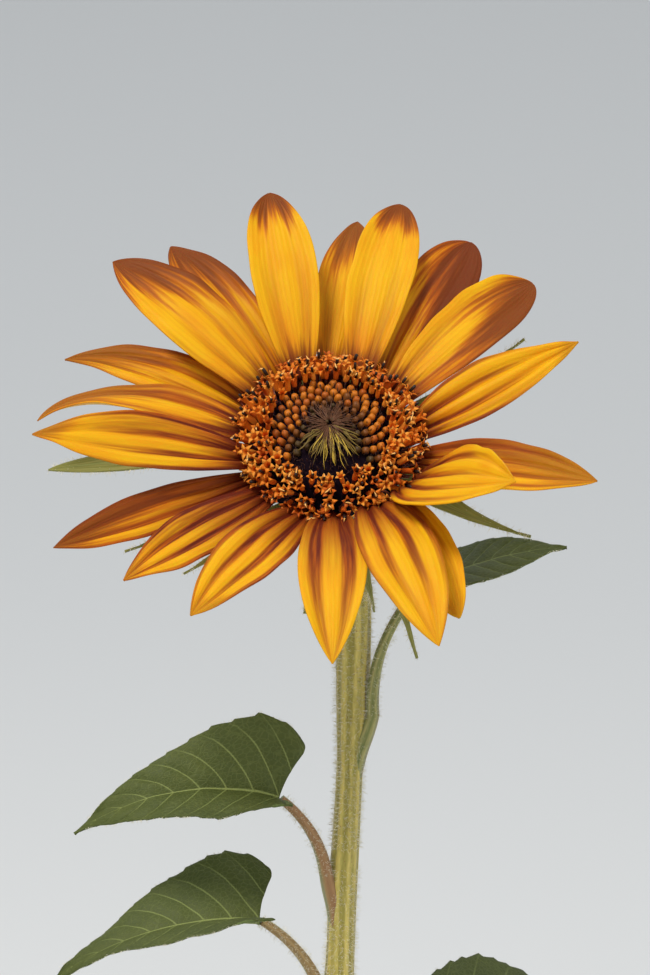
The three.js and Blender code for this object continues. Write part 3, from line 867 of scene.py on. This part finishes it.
def stem_centre(height):
    return np.array([np.interp(height, STEM_LINE[:, 2], STEM_LINE[:, k]) for k in range(3)])


def store_skin(made, sides, length, ribs):
    """Keeps the direction round a capped stalk, its length and its rib height, -1 to 1."""
    a = round_angles(sides)
    skin = np.stack(np.broadcast_arrays(np.cos(a)[None], np.sin(a)[None], length[:, None]), -1)
    relief = np.broadcast_to(ribs, skin.shape[:2])
    ends = [[0, 0, length[0]], [0, 0, length[-1]]]
    store(made, "skin", np.concatenate([skin.reshape(-1, 3), ends]))
    relief = np.concatenate([relief.ravel(), [0, 0]])
    store(made, "relief", np.stack([relief, relief, relief], -1))


def stalk_piece(name, node, slot, line, ahead, side, radii, ribs, material, length=None):
    """A ribbed stalk with its skin places. ribs is the rib height on each point, -1 to 1."""
    up = np.cross(ahead, side)
    rings = tube_points(line, radii, radii.shape[1], side, up)
    points, quads, threes = closed_tube(rings)
    made = mesh_object(name, points, [quads, threes], [material])
    if length is None:
        length = travelled(line)
    store_skin(made, radii.shape[1], length, ribs)
    settle(made, slot, node)
    return rings


def make_stem():
    line = STEM_LINE
    ahead = unit(np.gradient(line, axis=0))
    ahead[0] = (0, 0, 1)
    ahead[-1] = HEAD_OUT
    side = unit(np.array([1.0, 0, 0]) - ahead * ahead[:, :1])
    inside = np.array([1, 2.5])[:, None] * HEAD_OUT
    line = np.concatenate([line, line[-1] + inside])
    ahead = np.concatenate([ahead, [HEAD_OUT] * 2])
    side = np.concatenate([side, [side[-1]] * 2])
    height = line[:, 2]
    a = round_angles(STEM_SIDES)[None]
    z = height[:, None]
    sway = 0.5 * waves(z / 400, 3)
    ribs = np.cos(STEM_RIBS * (a + sway)) * 0.7 + 0.5 * np.cos(5 * (a - sway) + z / 60)
    ribs = np.clip(ribs, -1, 1)
    depth = 0.2 + 0.12 * step(290, 330, z)
    bumps = 0.06 * np.cos(23 * a + 0.2 * z + 3 * waves(z / 90, 5))
    radii = stem_radius(z) + depth * ribs * step(0, 6, z) - 0.12 + bumps
    for _, node, stalk, _ in LEAVES:
        turn = math.radians(stalk[0] - stalk[1] / 2)
        near = np.exp(-(((z - node + 3) / 7) ** 2)) * np.exp(-((1 - np.cos(a - turn)) / 0.5))
        radii = radii + 0.6 * near
    material = stalk_material("stem_skin", STEM_RIDGE, STEM_GROOVE_SHADE, STEM_SPOTS, low=STEM_SHADE_LOW)
    rings = stalk_piece(
        "stem_ribbed", "stem", "stem", line, ahead, side, radii, ribs, material, length=height,
    )
    normals = -grid_normals(rings)
    for low, high, count in ((6, 0.55, 4200), (0.55, 0.72, 3000), (0.72, 1, 6500)):
        zone = slice(int(low if low > 1 else low * len(line)), int(high * len(line)) - 4)
        fuzz(stalk_hairs, rings[zone], normals[zone], count, 1.6, spread=0.35, width=0.085)


make_stem()


# ---- leaves ----------------------------------------------------------------------------------------

LEAF_THICKNESS = 0.4
PETIOLE_SIDES = 24


def make_petiole(name, node, stalk):
    turn, bend, rise, long = stalk
    away = math.radians(turn - bend / 2)
    outward = np.array([math.cos(away), math.sin(away), 0])
    reach = stem_radius(node) + PETIOLE_BASE_RADIUS + GAP
    start = stem_centre(node) + outward * reach
    u = np.linspace(0, 1, 40)
    points, ahead, side, up = midline(start, WORLD_AXES, turn, bend, rise, long, u)
    # A sheath leads out of the stem into the stalk.
    def by_stem(drop, beyond):
        height = node - drop
        return stem_centre(height) + outward * (stem_radius(height) + beyond)

    drop = 5 + 10 * step(30, 95, rise[0])
    knots = [by_stem(drop * share, beyond) for share, beyond in ((1, -1.7), (0.6, -0.7), (0.25, 0.8))]
    sheath = smooth_line([*knots, start], 0.6)[:-1]
    lead = unit(np.gradient(np.concatenate([sheath, points[:3]]), axis=0))[: len(sheath)]
    lead_side = unit(np.cross(up[0] + 0 * lead, lead))
    line = np.concatenate([sheath, points])
    ahead = np.concatenate([lead, ahead])
    side = np.concatenate([lead_side, side])
    a = round_angles(PETIOLE_SIDES)[None]
    count = len(sheath)
    share = np.concatenate([np.zeros(count), u])[:, None]
    flare = np.concatenate([np.linspace(1, 0, count) ** 1.5, np.zeros(len(u))])[:, None]
    radii = lerp((PETIOLE_BASE_RADIUS, PETIOLE_TIP_RADIUS), share) + 0.25 * np.sin(math.pi * np.sqrt(flare))
    channel = np.exp(-((np.angle(np.exp(1j * (a - math.pi / 2))) / 0.5) ** 2))
    ribs = np.clip(np.cos(6 * a) * 0.6 - channel * 1.2, -1, 1)
    radii = radii * (1 + 0.06 * np.cos(6 * a) - 0.34 * channel * (1 - flare))
    red = 0.7 if "left_upper" in name else 0.5
    material = stalk_material(
        f"{name}_stalk_skin", PETIOLE_RIDGE, PETIOLE_GROOVE_SHADE, STALK_RED, red,
    )
    rings = stalk_piece(
        f"{name}_stalk", f"{name}_petiole", "petiole", line, ahead, side, radii, ribs, material,
    )
    normals = -grid_normals(rings)
    fuzz(stalk_hairs, rings[count:], normals[count:], int(long * 22), 1.3, spread=0.35, width=0.085)
    return points[-1], ahead[-1]


def make_leaf(name, node, stalk, lamina, seed):
    end, ahead = make_petiole(name, node, stalk)
    turn, bend, rise, long, wide, roll, fold = lamina
    tapered = name in TAPERED_LEAVES
    teeth = max(9, int(long / 4))
    ribs = 8
    # A rolled blade turns one half under, and that half starts narrower.
    curl = np.sign(sum(roll))
    under = min(1, abs(sum(roll)) / 60) if tapered else 0

    def edge(u, v):
        saw = (u * teeth + 0.1 * waves(u * 3, seed)) % 1
        teeth_out = 0.04 * (saw**1.5 - 0.5) * step(1, 0.9, u) * step(0, 0.15, u)
        rounded = -0.1 * np.exp(-((u / 0.03) ** 1.5))
        rounded = rounded - under * 0.8 * np.exp(-((u / 0.2) ** 2)) * (v * curl < 0)
        return (teeth_out + 0.02 * waves(u, seed + 9)) * np.abs(v) ** 6 + rounded * np.abs(v) ** 2

    blade = Blade(
        end + ahead * (GAP + 0.3), WORLD_AXES, turn, bend, rise, long, wide,
        "tapered" if tapered else "heart", 150, 56,
        fold=fold, roll=roll, back=wide * LEAF_BACK_SHARE, edge=edge,
    )
    u, v = blade.grid_u, blade.grid_v
    half = blade.half[:, None]
    vein = u - 0.32 * np.abs(v) ** 1.15 * (1 - 0.6 * u)
    rib = np.abs(np.sin(math.pi * ribs * vein))
    swell = min(1, wide / 50)
    quilt = swell * 0.9 * (rib**0.55 - 0.6) * (1 - v**6) * step(0.3, 4, np.abs(v) * half)
    puff = swell * 0.35 * waves(u * 4, seed + 3) * np.sin(5 * v + seed)
    ruffle = 0.035 * wide * waves(u * 1.4, seed + 5) * np.abs(v) ** 3 * np.where(v > 0, 1, -1)
    middle = np.exp(-((v * half / 1.1) ** 2)) * (1 - 0.7 * u)
    body = quilt + puff + ruffle * step(0.05, 0.3, u) * step(1, 0.9, u)
    keel = np.exp(-((rib / 0.16) ** 2)) * 0.25 * (1 - v * v)
    upper = body - 0.3 * middle
    lower = body - 1.1 * middle - keel
    front = leaf_material(f"{name}_upper_skin", seed, long, wide, ribs)
    back = leaf_material(f"{name}_lower_skin", seed, long, wide, ribs, under=True)
    made = blade_object(f"{name}_leaf", blade, upper, lower, LEAF_THICKNESS, front, back)
    places = np.stack([u, v, vein], -1).reshape(-1, 3)
    made.data.attributes["blade"].data.foreach_set(
        "vector", np.concatenate([places, places]).astype(np.float32).ravel()
    )
    settle(made, "leaf", f"{name}_blade")
    surface = blade.surface(body)
    for column, sign in ((0, -1), (-1, 1)):
        lean = blade.across * sign + blade.ahead * 0.4
        fringe(surface[:, column], lean, blade.over, int(long * 3), 0.9, width=0.09)


for number, leaf_spec in enumerate(LEAVES, 1):
    make_leaf(*leaf_spec, number)


# ---- receptacle ------------------------------------------------------------------------------------


def turned(profile, sides):
    """Rings of points round the head's axis from (radius, height) pairs."""
    profile = np.array(profile, float)
    a = round_angles(sides)
    radius, height = profile[:, :1], profile[:, 1:]
    return HEAD_CENTRE + along(HEAD_AXES, radius * np.cos(a), radius * np.sin(a), height + 0 * a)


def resample(profile, count):
    profile = np.array(profile, float)
    far = travelled(profile)
    at = np.linspace(0, far[-1], count)
    return np.stack([np.interp(at, far, profile[:, k]) for k in range(2)], -1)


RECEPTACLE_PROFILE = [
    (3.2, -11.2), (4, -11), (5.0, -9.9), (6.5, -8.6), (9, -7.0), (11.5, -5.6), (13.2, -4.0), (14.2, -2.6),
    (15.6, -2.4), (17.4, -2.2), (17.2, -1.7), (15, -0.9), (8, -0.9),
]


RECEPTACLE_RINGS = 40
RECEPTACLE_SIDES = 96


def make_receptacle():
    rings = turned(resample(RECEPTACLE_PROFILE, RECEPTACLE_RINGS), RECEPTACLE_SIDES)
    points, quads, threes = closed_tube(rings)
    material = stalk_material("receptacle_skin", *RECEPTACLE_GREENS)
    made = mesh_object("receptacle_green", points, [quads, threes], [material])
    ribs = np.cos(16 * round_angles(RECEPTACLE_SIDES))
    store_skin(made, RECEPTACLE_SIDES, np.arange(RECEPTACLE_RINGS), ribs)
    settle(made, "stem", "receptacle")
    normals = -grid_normals(rings)
    fuzz(stalk_hairs, rings[2:30], normals[2:30], 1200, 1.4, spread=0.4)


make_receptacle()


# ---- disc ------------------------------------------------------------------------------------------

BUD_ZONE = 12.6
DOME_TOP = 9.4
DOME_RIM = 6.0
BUD_COUNT = 150
THREADS_AIM = 272
GOLDEN_ANGLE = math.radians(137.508)

PALEA_COUNT = 520
OUTER_PALEA_COUNT = 330
FINE_THREADS = 170
PALE_THREADS = 58
PALE_SPREAD = 62

# Rings of open florets: how many, foot radius and height, tip radius and height, size, openness.
FLORET_RINGS = [
    (46, 15.7, 0.6, 20.5, 4.2, 1.08, 1.0),
    (43, 15.1, 1.6, 18.4, 6.3, 1.08, 1.0),
    (42, 14.4, 2.8, 16.2, 7.9, 1.05, 0.9),
    (38, 13.4, 4.0, 13.9, 8.9, 0.95, 0.6),
]

BUD_TINTS = [(0.56, 0.165, 0.012), (0.42, 0.1, 0.01), (0.19, 0.062, 0.012), (0.07, 0.04, 0.012)]
FLORET_TINTS = [(0.78, 0.19, 0.012), (0.6, 0.11, 0.008), (0.85, 0.28, 0.03)]
MAROON = (0.13, 0.022, 0.012)
MAROON_SOFT = (0.2, 0.035, 0.01)
ANTHER = (0.018, 0.008, 0.006)
STIGMA = (0.88, 0.45, 0.12)
# Painted shade: the near-black of the disc floor between the florets.
DISC_SHADE_BLACK = (0.011, 0.006, 0.01)
THREAD_TINTS = [(0.5, 0.33, 0.035), (0.2, 0.13, 0.022), (0.13, 0.05, 0.02)]
PALEA_DARK = (0.06, 0.022, 0.014)


def dome(radius):
    """Height of the bud dome over the ray plane."""
    return DOME_TOP - (DOME_TOP - DOME_RIM) * (radius / BUD_ZONE) ** 1.7


def dome_normal(angle, radius):
    slope = 1.7 * (DOME_TOP - DOME_RIM) * radius**0.7 / BUD_ZONE**1.7
    return unit(along(HEAD_AXES, slope * np.cos(angle), slope * np.sin(angle), 1 + 0 * angle))


def head_point(angle, radius, height):
    return on_head(np.degrees(angle), radius, height)


def make_dome():
    """The floor that the florets stand on, near-black as painted shade between them, with a skirt under the
    feet of the rays.
    """
    radii = np.linspace(0.05, BUD_ZONE, 22)
    profile = [(17.6, -1.6), (17.2, -0.7), (16.2, 0.2), (15.3, 1.4), (14, 2.8), (13, 4.2)]
    profile += [(r, dome(r) - 1.3) for r in radii[::-1]]
    rings = turned(profile, 72)
    points, quads, threes = closed_tube(rings)
    material = plain("disc_shadow", DISC_SHADE_BLACK, roughness=0.9, specular=0)
    made = mesh_object("disc_floor", points, [quads, threes], [material])
    settle(made, "bud", "disc_buds")


def bead(squareness=0.62, rows=7, columns=12):
    """A rounded square bud standing on the origin, one across and one tall."""
    theta = np.linspace(0.02, math.pi * 0.72, rows + 1)[:, None]
    phi = np.linspace(0, 2 * math.pi, columns + 1)[None, :-1]

    def power(x):
        return np.sign(x) * np.abs(x) ** squareness

    x = power(np.sin(theta)) * power(np.cos(phi)) / 2
    y = power(np.sin(theta)) * power(np.sin(phi)) / 2
    z = np.cos(theta) / 2 + 0 * phi
    return np.stack([x, y, z], -1).reshape(-1, 3), grid_faces(rows, columns, wrap=True)


def below(angle):
    """How far a direction on the head is from straight down, in degrees."""
    return abs((math.degrees(angle) - THREADS_AIM + 180) % 360 - 180)


def make_buds():
    heap = Heap()
    shape, quads = bead()
    for n in range(1, BUD_COUNT + 1):
        radius = BUD_ZONE * (n / BUD_COUNT) ** 0.6
        angle = n * GOLDEN_ANGLE
        turn = below(angle)
        if turn < 44 and radius > 2:
            continue
        size = 0.95 + 0.95 * step(1.5, 9, radius)
        up = dome_normal(angle, radius)
        out = unit(np.cross(np.cross(up, head_point(angle, 1, 0) - head_point(angle, 0, 0)), up))
        aside = np.cross(up, out)
        lean = RNG.normal(0, 0.08, 2)
        spin = RNG.normal(math.pi / 4, 0.12)
        turned_out = out * math.cos(spin) + aside * math.sin(spin)
        turned_aside = np.cross(up, turned_out)
        tall = size * RNG.uniform(1.2, 1.5)
        place = head_point(angle, radius, dome(radius) - 0.35 * size + RNG.normal(0, 0.06))
        scale = size * RNG.uniform(0.76, 0.88)
        points = (
            place + np.outer(shape[:, 0] * scale, turned_out) + np.outer(shape[:, 1] * scale, turned_aside)
            + np.outer(shape[:, 2] * tall, up + lean[0] * out + lean[1] * aside)
        )
        # Buds are darker towards the younger middle, and darker still on the lower side as painted shade.
        ripeness_and_shade = radius / BUD_ZONE + RNG.normal(0, 0.12) - 0.45 * step(100, 45, turn)
        kind = 3 if ripeness_and_shade < 0.3 else 2 if ripeness_and_shade < 0.56 else int(RNG.random() < 0.4)
        heap.add(points, quads, kind=kind)
    materials = [
        plain(f"bud_tint_{k}", tint, roughness=0.5, specular=0.25) for k, tint in enumerate(BUD_TINTS)
    ]
    settle(heap.build("disc_bud_beads", materials), "bud")


def make_paleae():
    """Thin dark scales stand between the buds and lean towards the middle."""
    heap = Heap()
    count = PALEA_COUNT
    radius = BUD_ZONE * np.sqrt(RNG.uniform(0.02, 1, count))
    angle = RNG.uniform(0, 2 * math.pi, count)
    up = dome_normal(angle, radius)
    away = along(HEAD_AXES, np.cos(angle), np.sin(angle), 0 * angle)
    direction = up + away * RNG.normal(-0.15, 0.25, (count, 1)) + RNG.normal(0, 0.12, (count, 3))
    length = 1.5 + 0.8 * (1 - radius / BUD_ZONE)
    add_spikes(heap, head_point(angle, radius, dome(radius) - 0.7), direction, length, 0.32)
    dark = plain("palea_dark", PALEA_DARK, roughness=0.6)
    settle(heap.build("disc_paleae", [dark]), "bud")


def add_strand(heap, angle, reach, rise, girth, kind=0):
    """A strand that lies over the dome, from an inner to an outer place, and lifts at its end."""
    s = np.linspace(0, 1, 9)
    radius = lerp(reach, s)
    sway = np.radians(RNG.normal(0, 3) * s + RNG.normal(0, 2.5) * np.sin(2 * math.pi * s))
    points = head_point(angle + sway, radius, dome(radius) + lerp((0.15, rise), s))
    ahead = unit(np.gradient(points, axis=0))
    first = unit(np.cross(ahead, dome_normal(angle, reach[1])[None] + 0 * ahead))
    swell = 0.55 + 0.45 * np.sin(math.pi * np.clip(s * 1.05, 0, 1)) ** 0.7
    radii = girth * swell * np.where(s > 0.97, 0.35, 1)
    flat, quads, threes = closed_tube(tube_points(points, radii, 5, first, np.cross(ahead, first)))
    heap.add(flat, quads, threes, kind)


def make_threads():
    """Young scales fan out from the middle: thin and brown all round, thick and pale below."""
    heap = Heap()
    for _ in range(FINE_THREADS):
        angle = math.radians(RNG.uniform(0, 360))
        inner = RNG.uniform(0.5, 1.6)
        reach = (inner, inner + RNG.uniform(2.0, 6.0))
        add_strand(heap, angle, reach, RNG.uniform(0.3, 1.1), 0.07, kind=2)
    for k in range(PALE_THREADS):
        aside = PALE_SPREAD * (2 * (k + 0.5) / PALE_THREADS - 1)
        angle = math.radians(THREADS_AIM + aside + RNG.normal(0, 2.5))
        inner = RNG.uniform(0.7, 3.2)
        outer = RNG.uniform(7.5, 11.8) - 3.6 * (below(angle) / PALE_SPREAD) ** 2
        kind = int(RNG.random() < 0.55) if below(angle) < 34 else 1
        add_strand(heap, angle, (inner, outer), RNG.uniform(0.2, 1.5), RNG.uniform(0.08, 0.16), kind)
    materials = [
        plain(f"thread_tint_{k}", tint, roughness=0.5) for k, tint in enumerate(THREAD_TINTS)
    ]
    settle(heap.build("disc_threads", materials), "bud")


def add_floret(heap, foot, tip, out, size, kind, open_share):
    """One open floret: a dark tube, five pointed lobes, an anther tube and a pale stigma."""
    axis = unit(tip - foot)
    long = np.linalg.norm(tip - foot)
    first = unit(np.cross(axis, np.cross(out, axis)))
    second = np.cross(axis, first)
    profile = [(0, 0.32), (0.3, 0.42), (0.42, 0.55), (0.6, 0.62), (0.8, 0.56), (0.93, 0.62), (1, 0.76)]
    sides = 10
    centres = foot + axis * (np.array([p[0] for p in profile]) * long)[:, None]
    radii = np.array([p[1] for p in profile]) * size
    rings = tube_points(centres, radii, sides, first[None] + 0 * centres, second[None] + 0 * centres)
    flat = rings.reshape(-1, 3)
    quads = grid_faces(len(profile) - 1, sides, wrap=True)[:, ::-1]
    low = sides * 2
    heap.add(flat, quads[:low], kind=3)
    heap.add(flat, quads[low:], kind=kind)
    spin = RNG.uniform(0, 2 * math.pi)
    for k in range(5):
        a = spin + 2 * math.pi * k / 5
        away = first * math.cos(a) + second * math.sin(a)
        aside = -first * math.sin(a) + second * math.cos(a)
        curl = open_share * RNG.uniform(0.75, 1.2)
        rows = 6
        s = np.linspace(0, 1, rows)[:, None]
        spine = (
            tip + away * size * (0.66 + (0.25 + 0.8 * curl) * s)
            + axis * size * ((1.25 - 0.3 * curl) * s - 0.75 * curl * s * s)
        )
        half = size * 0.5 * (1 - s**1.4) + 0.015
        dip = axis * 0.16 * size * (1 - s) - away * 0.1 * size * (1 - s)
        thick = unit(np.cross(away, aside)) * 0.07 * size
        left = spine - aside * half + dip
        right = spine + aside * half + dip
        loop = np.stack([left, spine + thick, right, spine - thick], 1)
        heap.add(loop.reshape(-1, 3), grid_faces(rows - 1, 4, wrap=True), kind=kind)
    if RNG.random() < 0.6:
        top = tip + axis * size * RNG.uniform(1.0, 1.9)
        line = np.stack([tip - axis * 0.3, lerp((tip, top), 0.6), lerp((tip, top), 0.92), top])
        wide = np.array([0.3, 0.34, 0.3, 0.12]) * size
        body = tube_points(line, wide, 7, first[None] + 0 * line, second[None] + 0 * line)
        points, around, ends = closed_tube(body)
        heap.add(points, around, ends, kind=4)
        if RNG.random() < 0.6:
            arms = 2 if RNG.random() < 0.5 else 1
            for sign in range(arms):
                arm = (first * math.cos(spin) + second * math.sin(spin)) * (1 - 2 * sign)
                add_spikes(
                    heap, (top - axis * 0.15)[None], (axis + arm * 0.45)[None], 0.9 * size, 0.42 * size,
                    droop=(arm * 0.7 - axis * 0.5)[None] * size, kinds=np.array([5]), sides=5,
                )


def make_florets():
    heap = Heap()
    for count, foot_radius, foot_height, tip_radius, tip_height, size, open_share in FLORET_RINGS:
        phase = RNG.uniform(0, 2 * math.pi)
        for k in range(count):
            angle = phase + 2 * math.pi * (k + RNG.normal(0, 0.1)) / count
            foot = head_point(angle, foot_radius, foot_height)
            wander = RNG.normal(0, 0.045)
            radius = tip_radius + RNG.normal(0, 0.45)
            tip = head_point(angle + wander, radius, tip_height + RNG.normal(0, 0.45))
            out = head_point(angle, 1, 0) - head_point(angle, 0, 0)
            kind = int(RNG.choice([0, 0, 1, 2]))
            scale = size * RNG.uniform(0.85, 1.15)
            add_floret(heap, foot, tip, out, scale, kind, open_share * RNG.uniform(0.5, 1.25))
    materials = [
        plain(f"floret_tint_{k}", tint, roughness=0.55, specular=0.2, subsurface=0.15)
        for k, tint in enumerate(FLORET_TINTS)
    ]
    materials.append(plain("floret_tube_maroon", MAROON, roughness=0.5))
    materials.append(plain("anther_dark", ANTHER, roughness=0.45))
    materials.append(plain("stigma_pale", STIGMA, roughness=0.5))
    settle(heap.build("disc_open_florets", materials), "floret", "disc_florets")

    scales = Heap()
    count = OUTER_PALEA_COUNT
    angle = RNG.uniform(0, 2 * math.pi, count)
    radius = RNG.uniform(14.5, 18.0, count)
    away = along(HEAD_AXES, np.cos(angle), np.sin(angle), 0 * angle)
    direction = away * RNG.uniform(0.5, 1.6, (count, 1)) + HEAD_OUT + RNG.normal(0, 0.2, (count, 3))
    length = RNG.uniform(2.5, 5.0, count)
    add_spikes(scales, head_point(angle, radius, -0.4 * (radius - 16)), direction, length, 0.7)
    soft = plain("palea_maroon", MAROON_SOFT, roughness=0.6, sheen=0.2)
    settle(scales.build("disc_outer_paleae", [soft]), "floret")


make_dome()
make_buds()
make_paleae()
make_threads()
make_florets()

hair_material = plain("hair_pale", HAIR, roughness=0.6, sheen=0.2)
settle(stalk_hairs.build("stalk_hairs", [hair_material]), "stem")
settle(blade_hairs.build("blade_hairs", [hair_material]), "leaf")


# ---- floor, light and camera -----------------------------------------------------------------------


FLOOR_FLAT = 1500
FLOOR_RADIUS = 7000
WALL_HEIGHT = 2200
FLOOR_SIDES = 96


def make_floor():
    """A wide pale floor that turns up slowly into a low wall all round."""
    turn = np.linspace(0, math.pi / 2, 28)
    out = np.concatenate([[1], FLOOR_FLAT + (FLOOR_RADIUS - FLOOR_FLAT) * np.sin(turn)])
    up = np.concatenate([[0], WALL_HEIGHT * (1 - np.cos(turn))])
    a = round_angles(FLOOR_SIDES)
    rings = np.stack([np.outer(out, np.cos(a)), np.outer(out, np.sin(a)), np.outer(up, 1 + 0 * a)], -1)
    material = plain("studio_pale", (0.78, 0.78, 0.77), roughness=0.9, specular=0)
    faces = grid_faces(len(out) - 1, len(a), wrap=True)
    made = mesh_object("studio_floor", rings.reshape(-1, 3), [faces], [material])


def aim_at(made, target):
    made.rotation_euler = (Vector(target) - made.location).to_track_quat("-Z", "Y").to_euler()


def area_light(name, place, target, size, power, colour=(1, 1, 1)):
    light = bpy.data.lights.new(name, "AREA")
    light.shape = "DISK"
    light.size = size
    light.energy = power
    light.color = colour
    made = bpy.data.objects.new(name, light)
    bpy.context.scene.collection.objects.link(made)
    made.location = place
    aim_at(made, target)


make_floor()
HEAD_PLACE = tuple(HEAD_CENTRE * MM)
area_light("key", (-0.5, -0.8, 1.5), HEAD_PLACE, 0.5, 17, (1, 0.97, 0.92))
area_light("fill", (1.1, -0.9, 0.6), HEAD_PLACE, 1.2, 4, (0.95, 0.97, 1))
area_light("overhead", (0, 2.0, 4), (0, 1.0, 0), 5, 34)

world = bpy.data.worlds.new("studio")
world.use_nodes = True
world.node_tree.nodes["Background"].inputs["Color"].default_value = (0.9, 0.95, 1, 1)
world.node_tree.nodes["Background"].inputs["Strength"].default_value = 0.55
bpy.context.scene.world = world
bpy.context.scene.view_settings.view_transform = "Standard"

VIEW_DROP = math.radians(10)
CAMERA_DISTANCE = 600
AIM_POINT = np.array([-4.38, -28.6, 352.8])
view = np.array([0, math.cos(VIEW_DROP), -math.sin(VIEW_DROP)])

camera_data = bpy.data.cameras.new("photo_camera")
camera_data.lens = 100.7
camera_data.sensor_fit = "VERTICAL"
camera_data.sensor_height = 36
camera = bpy.data.objects.new("photo_camera", camera_data)
bpy.context.scene.collection.objects.link(camera)
camera.location = (AIM_POINT - CAMERA_DISTANCE * view) * MM
aim_at(camera, tuple(AIM_POINT * MM))
bpy.context.scene.camera = camera
